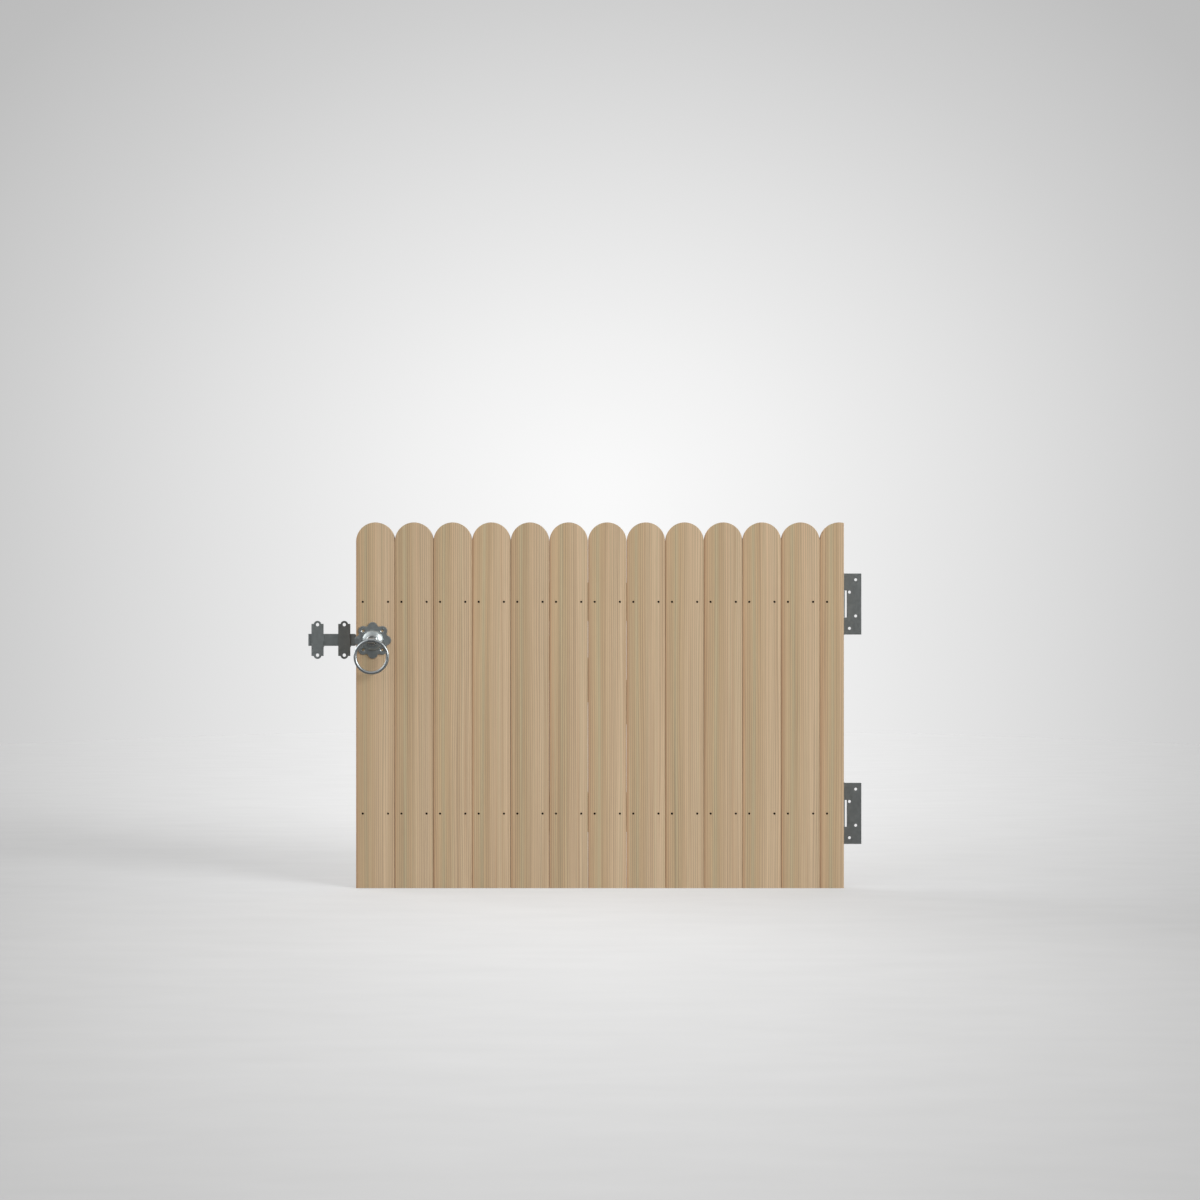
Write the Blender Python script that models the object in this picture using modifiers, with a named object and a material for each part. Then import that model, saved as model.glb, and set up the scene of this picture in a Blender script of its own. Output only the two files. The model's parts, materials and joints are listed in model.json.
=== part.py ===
"""Garden gate: a ledged and braced leaf of round-topped boards, hung on two tee hinges, with a ring latch.

Frame: +X from the latch side to the hinge side, +Y from the boarded face to the back, +Z up.
The leaf is drawn from the hinge line, level with the underside of the boards. At the end all of it is
moved so that the origin lies on the upper post leaf, where that beds on the post. Lengths are in metres.
"""

import math

import bmesh
import bpy
from mathutils import Matrix

# Fits ------------------------------------------------------------------------------------------
SEAT = 0.0003  # gap between two faces that rest on each other
PIN_CLEARANCE = 0.0003  # round a hinge pin, a screw shank or a square spindle
OVERCUT = 0.001  # how far a cutter reaches past the face that it cuts
LAP = 0.0004  # how far two shapes run into each other where they are joined

# The leaf --------------------------------------------------------------------------------------
GATE_WIDTH = 1.2
GATE_HEIGHT = 0.9
BOARD_WIDTH = 0.0945
BOARD_GAP = 0.0006
BOARD_THICKNESS = 0.018
NARROWEST_BOARD = 0.02  # a strip left over that is narrower than this is not fitted
TOP_ARC_STEPS = 28

LEDGE_THICKNESS = 0.028
LEDGE_HEIGHT = 0.095
LEDGE_INSET = 0.010  # from each side edge of the gate
UPPER_LEDGE_DROP = 0.1955  # from the top of the boards to the ledge's centreline
LOWER_LEDGE_RISE = 0.1835  # from the bottom of the boards to the ledge's centreline

BRACE_WIDTH = 0.095
BRACE_FOOT_INSET = 0.045  # from the hinge side edge
BRACE_HEAD_GAP = 0.020  # from the lock block
BRACE_SCREW_EVERY = 2  # of the boards that it crosses, at the middle of the board

LOCK_BLOCK_BOARDS = 2  # that the lock block backs fully
LOCK_BLOCK_LAP = 0.0098  # how far it reaches behind the board after those
LOCK_BLOCK_MARGIN = 0.0014  # beyond the guide's upper lug
BLOCK_SCREWS = (0.065, 0.165)  # from the block's latch end
BLOCK_SCREW_EDGE = 0.018  # from the block's upper and lower edges

# Tee hinges ------------------------------------------------------------------------------------
PIN_RADIUS = 0.0045
PIN_BEYOND_EDGE = 0.0025  # from the gate's edge to the hinge line
PIN_HEAD_LIP = 0.002
PIN_HEAD_HEIGHT = 0.0025
HINGE_SHEET = 0.003
HINGE_DROP = 0.0055  # from the ledge's centreline to the hinge's
LEAF_HEIGHT = 0.152
LEAF_REACH = 0.0478  # from the hinge line to the leaf's outer edge
LEAF_NOTCH_CLEARANCE = 0.0039  # between the strap's knuckle and the bottom of the notch
LEAF_HOLE_RADIUS = 0.0037
LEAF_HOLE_OUTER = 0.0140  # from the leaf's outer edge to its outer row of holes
LEAF_HOLE_INNER = 0.0295
LEAF_HOLE_FAR = 0.0605  # from the leaf's middle to its end holes
LEAF_HOLE_NEAR = 0.0297
KNUCKLE_TURN = 300.0  # degrees of roll round the pin
STRAP_KNUCKLE = 0.066
KNUCKLE_PLAY = 0.0005  # between the strap's knuckle and each end of the notch
STRAP_LENGTH = 0.400
STRAP_ROOT = 0.020
STRAP_TIP_RADIUS = 0.016
STRAP_PAIR_REACH = 0.032
STRAP_PAIR_OFFSET = 0.020
STRAP_FIRST_REACH = 0.130
STRAP_LAST_INSET = 0.030
STRAP_LINE_SCREWS = 3

# Ring latch ------------------------------------------------------------------------------------
SPINDLE_INSET = 0.0413  # from the gate's latch edge to the spindle
SPINDLE_SIDE = 0.008
SPINDLE_TAIL = 0.0085  # how far the spindle reaches behind the hinge line
SPINDLE_BORE_CLEARANCE = 0.0013  # round the spindle's corners, in the wood and the back plate

ROSE_SHEET = 0.0025
ROSE_RADIUS = 0.0372
PETAL_COUNT = 8
PETAL_RADIUS = 0.012
PETAL_CIRCLE = 0.033
ROSE_HOLE_RADIUS = 0.0032
ROSE_SINK_RADIUS = 0.0050
DOME_RADIUS = 0.026
DOME_HEIGHT = 0.014
DOME_SHEET = 0.002
DOME_MOUTH_CLEARANCE = 0.0007  # round the hub's neck

HUB_NECK_RADIUS = 0.0098
HUB_COLLAR_RADIUS = 0.0135
HUB_COLLAR_THICKNESS = 0.004
HUB_CHAMFER = 0.001
HUB_FOOT_GAP = 0.0013  # between the hub's neck and the board
EYE_WIDTH = 0.017
EYE_CLEARANCE = 0.001  # round the ring's wire
EYE_WALL = 0.002
EYE_STANDOFF = 0.0023  # between the ring's wire and the collar
SOCKET_DEPTH = 0.012

RING_OUTER_RADIUS = 0.0436
RING_WIRE_RADIUS = 0.004

LATCH_SHEET = 0.003
BAR_THICKNESS = 0.005
BAR_HEIGHT = 0.030
BAR_PLAY = 0.0008  # in front of the bar and behind it
BAR_PAST_EDGE = 0.1264  # from the gate's edge to the bar's tip
BAR_NECK_HEIGHT = 0.018
BAR_SHOULDER_GAP = 0.0075  # from the gate's edge to where the bar narrows
BAR_SHOULDER_RADIUS = 0.0045
BAR_BOSS_RADIUS = 0.0125
LIFT_ANGLE = 28.0

WASHER_RADIUS = 0.0115
WASHER_THICKNESS = 0.0015
COTTER_RADIUS = 0.0012
COTTER_LENGTH = 0.018

BACK_PLATE_WIDTH = 0.029
BACK_PLATE_HEIGHT = 0.088
BACK_PLATE_HOLE = 0.034  # from the spindle to each screw

GUIDE_WIDTH = 0.018
GUIDE_INSET = 0.005  # from the gate's latch edge
GUIDE_SHEET = 0.0025
GUIDE_LUG = 0.013
GUIDE_PLAY = 0.0006
GUIDE_SCREW_EDGE = 0.006  # at least this far from the lock block's end

KEEP_WIDTH = 0.030
KEEP_HEIGHT = 0.080
KEEP_LUG_RADIUS = 0.0095
KEEP_HOLE_RADIUS = 0.0042
KEEP_HOLE_REACH = 0.038  # from the bar's centreline
KEEP_LIP_RISE = 0.010  # from the bar's centreline to the top of the lip
NEAR_KEEP_GAP = 0.0214  # from the gate's edge to the near keep
KEEP_PITCH = 0.0666

# Screws: shank radius, head radius, head height -------------------------------------------------
WOOD_SCREW = (0.0025, 0.0052, 0.0026)
SMALL_SCREW = (0.0020, 0.0038, 0.0018)
STRAP_SCREW_COVER = 0.005  # of ledge left beyond the tip
SMALL_SCREW_COVER = 0.009
DEEP_SCREW_BITE = 0.011  # into the boards
PILOT_SPARE = 0.001  # of hole beyond the tip
SCREW_TAPER = 0.2  # the share of its length that is pointed
SCREW_SIDES = 12

# What follows from them -------------------------------------------------------------------------
STRAP_SCREW_LENGTH = HINGE_SHEET + LEDGE_THICKNESS - STRAP_SCREW_COVER
SMALL_SCREW_LENGTH = LATCH_SHEET + LEDGE_THICKNESS - SMALL_SCREW_COVER
DEEP_SCREW_LENGTH = LEDGE_THICKNESS + DEEP_SCREW_BITE

KNUCKLE_RADIUS = PIN_RADIUS + PIN_CLEARANCE + HINGE_SHEET
PLATE_FACE = -KNUCKLE_RADIUS  # the plane in which the hinge and latch plates bed
FRAME_BACK = PLATE_FACE - SEAT
FRAME_FRONT = FRAME_BACK - LEDGE_THICKNESS
BOARD_BACK = FRAME_FRONT - SEAT
BOARD_FACE = BOARD_BACK - BOARD_THICKNESS

HINGE_EDGE = -PIN_BEYOND_EDGE
LATCH_EDGE = HINGE_EDGE - GATE_WIDTH
UPPER_LEDGE_Z = GATE_HEIGHT - UPPER_LEDGE_DROP
LOWER_LEDGE_Z = LOWER_LEDGE_RISE
HINGE_HEIGHTS = {"upper": UPPER_LEDGE_Z - HINGE_DROP, "lower": LOWER_LEDGE_Z - HINGE_DROP}

GUIDE_REACH = SPINDLE_INSET - GUIDE_INSET
GUIDE_DROP = BAR_NECK_HEIGHT / 2 + GUIDE_PLAY  # from the spindle's height to the guide's inner bottom
GUIDE_RISE = (
    GUIDE_REACH * math.tan(math.radians(LIFT_ANGLE))
    + BAR_NECK_HEIGHT / 2 / math.cos(math.radians(LIFT_ANGLE))
    + GUIDE_PLAY
)  # to its inner top, which stops the bar's neck

LOCK_BLOCK_LENGTH = LOCK_BLOCK_BOARDS * (BOARD_WIDTH + BOARD_GAP) - LEDGE_INSET + LOCK_BLOCK_LAP
LOCK_BLOCK_HEIGHT = 2 * (GUIDE_RISE + GUIDE_SHEET + GUIDE_LUG + LOCK_BLOCK_MARGIN)
BLOCK_TOP = UPPER_LEDGE_Z - LEDGE_HEIGHT / 2 - SEAT
SPINDLE_X = LATCH_EDGE + SPINDLE_INSET
SPINDLE_Z = BLOCK_TOP - LOCK_BLOCK_HEIGHT / 2
SPINDLE_BORE_RADIUS = SPINDLE_SIDE / math.sqrt(2) + SPINDLE_BORE_CLEARANCE
DOME_MOUTH = HUB_NECK_RADIUS + DOME_MOUTH_CLEARANCE

BAR_FACE = PLATE_FACE + LATCH_SHEET + BAR_PLAY
BAR_BACK = BAR_FACE + BAR_THICKNESS

ROSE_FACE = BOARD_FACE - SEAT - ROSE_SHEET
COLLAR_BACK = ROSE_FACE - DOME_HEIGHT - SEAT
COLLAR_FACE = COLLAR_BACK - HUB_COLLAR_THICKNESS
HUB_FOOT = BOARD_FACE - HUB_FOOT_GAP
EYE_BORE_RADIUS = RING_WIRE_RADIUS + EYE_CLEARANCE
EYE_HEIGHT = 2 * (EYE_BORE_RADIUS + EYE_WALL)
EYE_Y = COLLAR_FACE - EYE_STANDOFF - RING_WIRE_RADIUS

RING_MEAN_RADIUS = RING_OUTER_RADIUS - RING_WIRE_RADIUS
RING_SAG = RING_MEAN_RADIUS - math.sqrt(RING_MEAN_RADIUS**2 - (EYE_WIDTH / 2) ** 2)

WOOD = ("pine", (0.50, 0.36, 0.22), 0.7, 0.0)
STEEL = ("zinc_plated_steel", (0.33, 0.35, 0.35), 0.35, 1.0)
BRIGHT = ("polished_steel", (0.62, 0.63, 0.63), 0.18, 1.0)


# Making things ----------------------------------------------------------------------------------
def clear_scene():
    for obj in list(bpy.data.objects):
        bpy.data.objects.remove(obj)


def collection(name, hidden=False):
    made = bpy.data.collections.new(name)
    bpy.context.scene.collection.children.link(made)
    made.hide_render = hidden
    return made


def material(name, colour, roughness, metallic):
    if name in bpy.data.materials:
        return bpy.data.materials[name]
    made = bpy.data.materials.new(name)
    made.use_nodes = True
    shader = made.node_tree.nodes["Principled BSDF"]
    shader.inputs["Base Color"].default_value = (*colour, 1.0)
    shader.inputs["Roughness"].default_value = roughness
    shader.inputs["Metallic"].default_value = metallic
    return made


def add_object(name, data, finish):
    obj = bpy.data.objects.new(name, data)
    data.materials.append(material(*finish))
    GATE.objects.link(obj)
    return obj


def axis_empty(name, place):
    """An empty on a joint's axis, which carries the pieces that move with it."""
    empty = bpy.data.objects.new(name, None)
    empty.empty_display_size = 0.05
    empty.location = place
    GATE.objects.link(empty)
    return empty


def carry(axis, *objects):
    bpy.context.view_layer.update()
    for obj in objects:
        obj.parent = axis
        obj.matrix_parent_inverse = axis.matrix_world.inverted()


def arc(centre, radius, start, end, steps):
    """Points from start to end degrees round the centre, both ends included."""
    angles = [math.radians(start + (end - start) * i / steps) for i in range(steps + 1)]
    return [(centre[0] + radius * math.cos(a), centre[1] + radius * math.sin(a)) for a in angles]


def circle(centre, radius, sides=16):
    return arc(centre, radius, 0, 360, sides)[:-1]


def flat_curve(name, outlines, depth, finish):
    """A 2D curve filled between its outlines, the second and later ones being holes."""
    data = bpy.data.curves.new(name, "CURVE")
    data.dimensions = "2D"
    data.fill_mode = "BOTH"
    data.extrude = depth / 2
    for outline in outlines:
        spline = data.splines.new("POLY")
        spline.points.add(len(outline) - 1)
        for point, (a, b) in zip(spline.points, outline):
            point.co = (a, b, 0, 1)
        spline.use_cyclic_u = True
    return add_object(name, data, finish)


def slab(name, outline, front, thickness, finish, holes=()):
    """A flat piece drawn in X and Z, from front backwards. Each hole is (x, z, radius)."""
    outlines = [outline] + [circle((x, z), radius) for x, z, radius in holes]
    obj = flat_curve(name, outlines, thickness, finish)
    obj.rotation_euler = (math.pi / 2, 0, 0)
    obj.location.y = front + thickness / 2
    return obj


def section_along_x(name, outline, left, width, finish):
    """A section drawn in Y and Z, drawn out along X."""
    obj = flat_curve(name, [outline], width, finish)
    obj.rotation_euler = (math.pi / 2, 0, math.pi / 2)
    obj.location.x = left + width / 2
    return obj


def section_along_z(name, outline, bottom, height, finish):
    """A section drawn in X and Y, drawn out along Z."""
    obj = flat_curve(name, [outline], height, finish)
    obj.location.z = bottom + height / 2
    return obj


def as_mesh(curve):
    """The same shape as a mesh object, closed at its caps, so that it can be cut."""
    bpy.context.view_layer.update()
    graph = bpy.context.evaluated_depsgraph_get()
    mesh = bpy.data.meshes.new_from_object(curve.evaluated_get(graph))
    edit = bmesh.new()
    edit.from_mesh(mesh)
    bmesh.ops.remove_doubles(edit, verts=edit.verts, dist=1e-6)
    bmesh.ops.recalc_face_normals(edit, faces=edit.faces)
    edit.to_mesh(mesh)
    edit.free()
    name, matrix = curve.name, curve.matrix_world.copy()
    bpy.data.objects.remove(curve)
    obj = bpy.data.objects.new(name, mesh)
    obj.matrix_world = matrix
    GATE.objects.link(obj)
    return obj


def boolean(obj, tool, operation="DIFFERENCE"):
    """Cuts or joins obj by tool, which is kept out of the gate."""
    for holder in list(tool.users_collection):
        holder.objects.unlink(tool)
    CUTTERS.objects.link(tool)
    tool.hide_render = True
    tool.display_type = "WIRE"
    modifier = obj.modifiers.new(f"{operation.lower()} {tool.name}", "BOOLEAN")
    modifier.operation = operation
    modifier.solver = "EXACT"
    modifier.object = tool
    return obj


def rod(name, start, axis, radius, length, sides=16, end_radius=None, finish=STEEL):
    """A round bar, or a cone, from start along X, Y or Z."""
    mesh = bpy.data.meshes.new(name)
    edit = bmesh.new()
    bmesh.ops.create_cone(
        edit,
        cap_ends=True,
        segments=sides,
        radius1=radius,
        radius2=radius if end_radius is None else end_radius,
        depth=length,
        matrix=Matrix.Translation((0, 0, length / 2)),
    )
    edit.to_mesh(mesh)
    edit.free()
    obj = add_object(name, mesh, finish)
    turns = {"X": (0, math.pi / 2, 0), "Y": (-math.pi / 2, 0, 0), "Z": (0, 0, 0)}
    obj.rotation_euler = turns[axis]
    obj.location = start
    return obj


def block(name, low, high, finish=STEEL):
    mesh = bpy.data.meshes.new(name)
    edit = bmesh.new()
    size = [b - a for a, b in zip(low, high)]
    bmesh.ops.create_cube(edit, size=1, matrix=Matrix.Diagonal((*size, 1)))
    edit.to_mesh(mesh)
    edit.free()
    obj = add_object(name, mesh, finish)
    obj.location = [(a + b) / 2 for a, b in zip(low, high)]
    return obj


def turned(name, profile, place, finish, sides, closed=False):
    """A profile of (radius, distance forward) turned about Y through place, forward being -Y.
    It runs from the front round the outer side to the back; a closed one goes on to its start."""
    mesh = bpy.data.meshes.new(name)
    count = len(profile)
    edges = [(i, i + 1) for i in range(count - 1)] + ([(count - 1, 0)] if closed else [])
    mesh.from_pydata([(radius, 0, forward) for radius, forward in profile], edges, [])
    obj = add_object(name, mesh, finish)
    screw = obj.modifiers.new("turn", "SCREW")
    screw.axis = "Z"
    screw.angle = 2 * math.pi
    screw.steps = sides
    screw.render_steps = sides
    screw.use_merge_vertices = True
    screw.merge_threshold = 0.00001
    screw.use_smooth_shade = False
    obj.rotation_euler = (math.pi / 2, 0, 0)
    obj.location = place
    return obj


def screw(name, x, z, face, kind, length):
    """A round-headed screw driven forwards, its head on the plane y = face."""
    shank, head, rise = kind
    crown = arc((0, 0), 1, 90, 0, 4)
    dome = [(head * a, -rise * b) for a, b in crown]
    body = [(shank, 0), (shank, length * (1 - SCREW_TAPER)), (0, length)]
    profile = [(r, forward) for r, forward in body[::-1] + dome[::-1]]
    return turned(name, profile, (x, face, z), STEEL, SCREW_SIDES)


# The wooden leaf --------------------------------------------------------------------------------
def board_outline(left, right):
    """A board with a round top, ripped off at its right edge where it is the last one."""
    radius = BOARD_WIDTH / 2
    centre = (left + radius, GATE_HEIGHT - radius)
    reach = min(1.0, (right - centre[0]) / radius)
    start = math.degrees(math.acos(reach))
    return [(left, 0), (right, 0)] + arc(centre, radius, start, 180, TOP_ARC_STEPS)


def board_edges():
    """The left and right edges of each board, from the latch side."""
    pitch = BOARD_WIDTH + BOARD_GAP
    edges = []
    left = LATCH_EDGE
    while HINGE_EDGE - left > NARROWEST_BOARD:
        edges.append((left, min(left + BOARD_WIDTH, HINGE_EDGE)))
        left += pitch
    return edges


def brace_heights():
    """The heights between which the brace stands."""
    low = LOWER_LEDGE_Z + LEDGE_HEIGHT / 2 + SEAT
    high = UPPER_LEDGE_Z - LEDGE_HEIGHT / 2 - SEAT
    return low, high


def brace_ends():
    """The (left, right) of the brace's foot and of its head, and how far it leans."""
    low, high = brace_heights()
    right = HINGE_EDGE - BRACE_FOOT_INSET
    left = LATCH_EDGE + LEDGE_INSET + LOCK_BLOCK_LENGTH + BRACE_HEAD_GAP
    span, rise = right - left, high - low
    lean = math.atan2(rise, span) + math.asin(BRACE_WIDTH / math.hypot(span, rise))
    cut = BRACE_WIDTH / math.sin(lean)
    return (right - cut, right), (left, left + cut), span - cut


def deep_screw_places():
    """Where the lock block and the brace are screwed to the boards."""
    block_left = LATCH_EDGE + LEDGE_INSET
    rise = LOCK_BLOCK_HEIGHT / 2 - BLOCK_SCREW_EDGE
    places = {}
    for side in (1, -1):
        for x in BLOCK_SCREWS:
            name = f"block_screw_{len(places) + 1}"
            places[name] = (block_left + x, SPINDLE_Z + side * rise)
    foot, _, shift = brace_ends()
    low, high = brace_heights()
    start = sum(foot) / 2
    crossed = [x for x in (sum(edges) / 2 for edges in board_edges()) if start - shift < x < start]
    for number, x in enumerate(crossed[1::BRACE_SCREW_EVERY], 1):
        along = (start - x) / shift
        places[f"brace_screw_{number}"] = (x, low + along * (high - low))
    return places


def make_boards(axis):
    drilled = deep_screw_places()
    reach = DEEP_SCREW_BITE + PILOT_SPARE
    for number, (left, right) in enumerate(board_edges(), 1):
        name = f"board_{number:02d}"
        holes = []
        if left < SPINDLE_X < right:
            holes = [(SPINDLE_X, SPINDLE_Z, SPINDLE_BORE_RADIUS)]
        board = slab(name, board_outline(left, right), BOARD_FACE, BOARD_THICKNESS, WOOD, holes)
        here = {n: p for n, p in drilled.items() if left < p[0] < right}
        if here:
            board = as_mesh(board)
        for screw_name, (x, z) in here.items():
            radius = WOOD_SCREW[0] + PIN_CLEARANCE
            start = (x, BOARD_BACK - reach, z)
            boolean(board, rod(f"pilot_{screw_name}", start, "Y", radius, 2 * reach, SCREW_SIDES))
        carry(axis, board)


def strap_screw_places(height):
    """The (x, z) of each screw in a strap whose hinge is at this height."""
    places = [(-STRAP_PAIR_REACH, height + side * STRAP_PAIR_OFFSET) for side in (1, -1)]
    step = (STRAP_LENGTH - STRAP_LAST_INSET - STRAP_FIRST_REACH) / (STRAP_LINE_SCREWS - 1)
    places += [(-STRAP_FIRST_REACH - i * step, height) for i in range(STRAP_LINE_SCREWS)]
    return places


def rectangle(left, right, bottom, top):
    return [(left, bottom), (right, bottom), (right, top), (left, top)]


def make_ledges(axis):
    hole = WOOD_SCREW[0] + PIN_CLEARANCE
    for name, middle in (("upper", UPPER_LEDGE_Z), ("lower", LOWER_LEDGE_Z)):
        outline = rectangle(
            LATCH_EDGE + LEDGE_INSET,
            HINGE_EDGE - LEDGE_INSET,
            middle - LEDGE_HEIGHT / 2,
            middle + LEDGE_HEIGHT / 2,
        )
        holes = [(x, z, hole) for x, z in strap_screw_places(HINGE_HEIGHTS[name])]
        ledge = slab(f"{name}_ledge", outline, FRAME_FRONT, LEDGE_THICKNESS, WOOD, holes)
        carry(axis, ledge)


def make_brace(axis):
    foot, head, _ = brace_ends()
    low, high = brace_heights()
    outline = [(foot[0], low), (foot[1], low), (head[1], high), (head[0], high)]
    hole = WOOD_SCREW[0] + PIN_CLEARANCE
    places = deep_screw_places()
    holes = [(*places[name], hole) for name in places if name.startswith("brace")]
    carry(axis, slab("diagonal_brace", outline, FRAME_FRONT, LEDGE_THICKNESS, WOOD, holes))


def make_lock_block(axis):
    left = LATCH_EDGE + LEDGE_INSET
    outline = rectangle(left, left + LOCK_BLOCK_LENGTH, BLOCK_TOP - LOCK_BLOCK_HEIGHT, BLOCK_TOP)
    deep, small = WOOD_SCREW[0] + PIN_CLEARANCE, SMALL_SCREW[0] + PIN_CLEARANCE
    places = deep_screw_places()
    holes = [(*places[name], deep) for name in places if name.startswith("block")]
    holes += [(x, z, small) for x, z in small_screw_places().values()]
    holes += [(SPINDLE_X, SPINDLE_Z, SPINDLE_BORE_RADIUS)]
    carry(axis, slab("lock_block", outline, FRAME_FRONT, LEDGE_THICKNESS, WOOD, holes))


def make_deep_screws(axis):
    for name, (x, z) in deep_screw_places().items():
        carry(axis, screw(name, x, z, FRAME_BACK + SEAT, WOOD_SCREW, DEEP_SCREW_LENGTH))


# Tee hinges -------------------------------------------------------------------------------------
def rolled_section(reach):
    """A plate lying in the bedding plane whose end is rolled round the pin. Reach is signed in X."""
    side = 1 if reach > 0 else -1
    inner = PIN_RADIUS + PIN_CLEARANCE
    outside = arc((0, 0), KNUCKLE_RADIUS, -90, -90 - KNUCKLE_TURN, 20)
    inside = arc((0, 0), inner, -90 - KNUCKLE_TURN, -90, 20)
    ends = [(abs(reach), -inner), (abs(reach), -KNUCKLE_RADIUS)]
    return [(side * x, y) for x, y in outside + inside + ends]


def make_post_leaf(name, height):
    section = rolled_section(LEAF_REACH)
    leaf = section_along_z(name, section, height - LEAF_HEIGHT / 2, LEAF_HEIGHT, STEEL)
    leaf = as_mesh(leaf)
    half = STRAP_KNUCKLE / 2 + KNUCKLE_PLAY
    low = (-2 * KNUCKLE_RADIUS, -2 * KNUCKLE_RADIUS, height - half)
    high = (KNUCKLE_RADIUS + LEAF_NOTCH_CLEARANCE, 2 * KNUCKLE_RADIUS, height + half)
    boolean(leaf, block(f"{name}_notch", low, high))
    outer, inner = LEAF_REACH - LEAF_HOLE_OUTER, LEAF_REACH - LEAF_HOLE_INNER
    places = [
        (outer, LEAF_HOLE_FAR),
        (inner, LEAF_HOLE_NEAR),
        (outer, -LEAF_HOLE_NEAR),
        (inner, -LEAF_HOLE_FAR),
    ]
    for number, (x, rise) in enumerate(places, 1):
        start = (x, PLATE_FACE - HINGE_SHEET, height + rise)
        boolean(leaf, rod(f"{name}_hole_{number}", start, "Y", LEAF_HOLE_RADIUS, 3 * HINGE_SHEET, 20))
    return leaf


def strap_outline(height):
    """A strap as wide as its knuckle at the root, tapering to a round tip."""
    half = STRAP_KNUCKLE / 2
    tip = (-STRAP_LENGTH + STRAP_TIP_RADIUS, height)
    edge = 2 * KNUCKLE_RADIUS
    root = [(edge, height - half), (edge, height + half), (-STRAP_ROOT, height + half)]
    return root + arc(tip, STRAP_TIP_RADIUS, 90, 270, 12) + [(-STRAP_ROOT, height - half)]


def make_strap(name, height, axis):
    half = STRAP_KNUCKLE / 2
    section = rolled_section(-STRAP_LENGTH)
    strap = as_mesh(section_along_z(f"{name}_strap", section, height - half, 2 * half, STEEL))
    depth = 4 * KNUCKLE_RADIUS
    outline = slab(f"{name}_strap_outline", strap_outline(height), -depth / 2, depth, STEEL)
    boolean(strap, as_mesh(outline), "INTERSECT")
    radius = WOOD_SCREW[0] + PIN_CLEARANCE
    for number, (x, z) in enumerate(strap_screw_places(height), 1):
        start = (x, PLATE_FACE - HINGE_SHEET, z)
        boolean(strap, rod(f"{name}_strap_hole_{number}", start, "Y", radius, 3 * HINGE_SHEET, 12))
        face = PLATE_FACE + HINGE_SHEET + SEAT
        head = screw(f"{name}_strap_screw_{number}", x, z, face, WOOD_SCREW, STRAP_SCREW_LENGTH)
        carry(axis, head)
    carry(axis, strap)


def make_pin(name, height):
    """A pin with a round head over each end of the leaf."""
    end = LEAF_HEIGHT / 2 + SEAT
    crown = arc((0, 0), 1, 90, 0, 4)
    radius = PIN_RADIUS + PIN_HEAD_LIP
    upper = [(radius * a, end + PIN_HEAD_HEIGHT * b) for a, b in crown]
    profile = upper + [(PIN_RADIUS, end), (PIN_RADIUS, -end)]
    profile += [(r, -z) for r, z in upper[::-1]]
    pin = turned(name, profile, (0, 0, height), STEEL, 16)
    pin.rotation_euler = (0, 0, 0)
    return pin


def make_hinges(axis):
    for name, height in HINGE_HEIGHTS.items():
        make_post_leaf(f"{name}_post_leaf", height)
        make_pin(f"{name}_hinge_pin", height)
        make_strap(name, height, axis)


# Ring latch -------------------------------------------------------------------------------------
def petal_angles():
    return [360 * i / PETAL_COUNT for i in range(PETAL_COUNT)]


def rose_outline():
    """Round petals set about a disc, as one outline."""
    touch = (PETAL_CIRCLE**2 + PETAL_RADIUS**2 - ROSE_RADIUS**2) / (2 * PETAL_CIRCLE * PETAL_RADIUS)
    half = 180 - math.degrees(math.acos(touch))
    points = []
    for angle in petal_angles():
        a = math.radians(angle)
        centre = (SPINDLE_X + PETAL_CIRCLE * math.cos(a), SPINDLE_Z + PETAL_CIRCLE * math.sin(a))
        points += arc(centre, PETAL_RADIUS, angle - half, angle + half, 8)
    return points


def make_rose(axis):
    """The scalloped front plate and the dome pressed up out of it."""
    inner = DOME_RADIUS - DOME_SHEET
    middle = [(SPINDLE_X, SPINDLE_Z, inner)]
    rose = slab("flower_rose", rose_outline(), ROSE_FACE, ROSE_SHEET, STEEL, middle)
    rose = as_mesh(rose)
    for number, angle in enumerate(petal_angles()[1::2], 1):
        a = math.radians(angle)
        x, z = SPINDLE_X + PETAL_CIRCLE * math.cos(a), SPINDLE_Z + PETAL_CIRCLE * math.sin(a)
        start = (x, ROSE_FACE - OVERCUT, z)
        through = ROSE_SHEET + 2 * OVERCUT
        boolean(rose, rod(f"rose_hole_{number}", start, "Y", ROSE_HOLE_RADIUS, through, 12))
        sink = ROSE_SINK_RADIUS + OVERCUT
        depth = sink - ROSE_HOLE_RADIUS + LAP
        boolean(rose, rod(f"rose_sink_{number}", start, "Y", sink, depth, 12, sink - depth))
    top = math.degrees(math.acos(DOME_MOUTH / DOME_RADIUS))
    crown = [(DOME_RADIUS * a, DOME_HEIGHT * b) for a, b in arc((0, 0), 1, top, 0, 7)]
    top = math.degrees(math.acos(DOME_MOUTH / inner))
    hollow = arc((0, 0), 1, 0, top, 7)
    hollow = [(inner * a, (DOME_HEIGHT - DOME_SHEET) * b) for a, b in hollow]
    back = -ROSE_SHEET / 2
    profile = crown + [(DOME_RADIUS, back), (inner - LAP, back)]
    profile += [(r - LAP, forward) for r, forward in hollow]
    place = (SPINDLE_X, ROSE_FACE, SPINDLE_Z)
    dome = turned("rose_dome", profile, place, STEEL, 32, closed=True)
    boolean(rose, dome, "UNION")
    carry(axis, rose)


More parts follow.
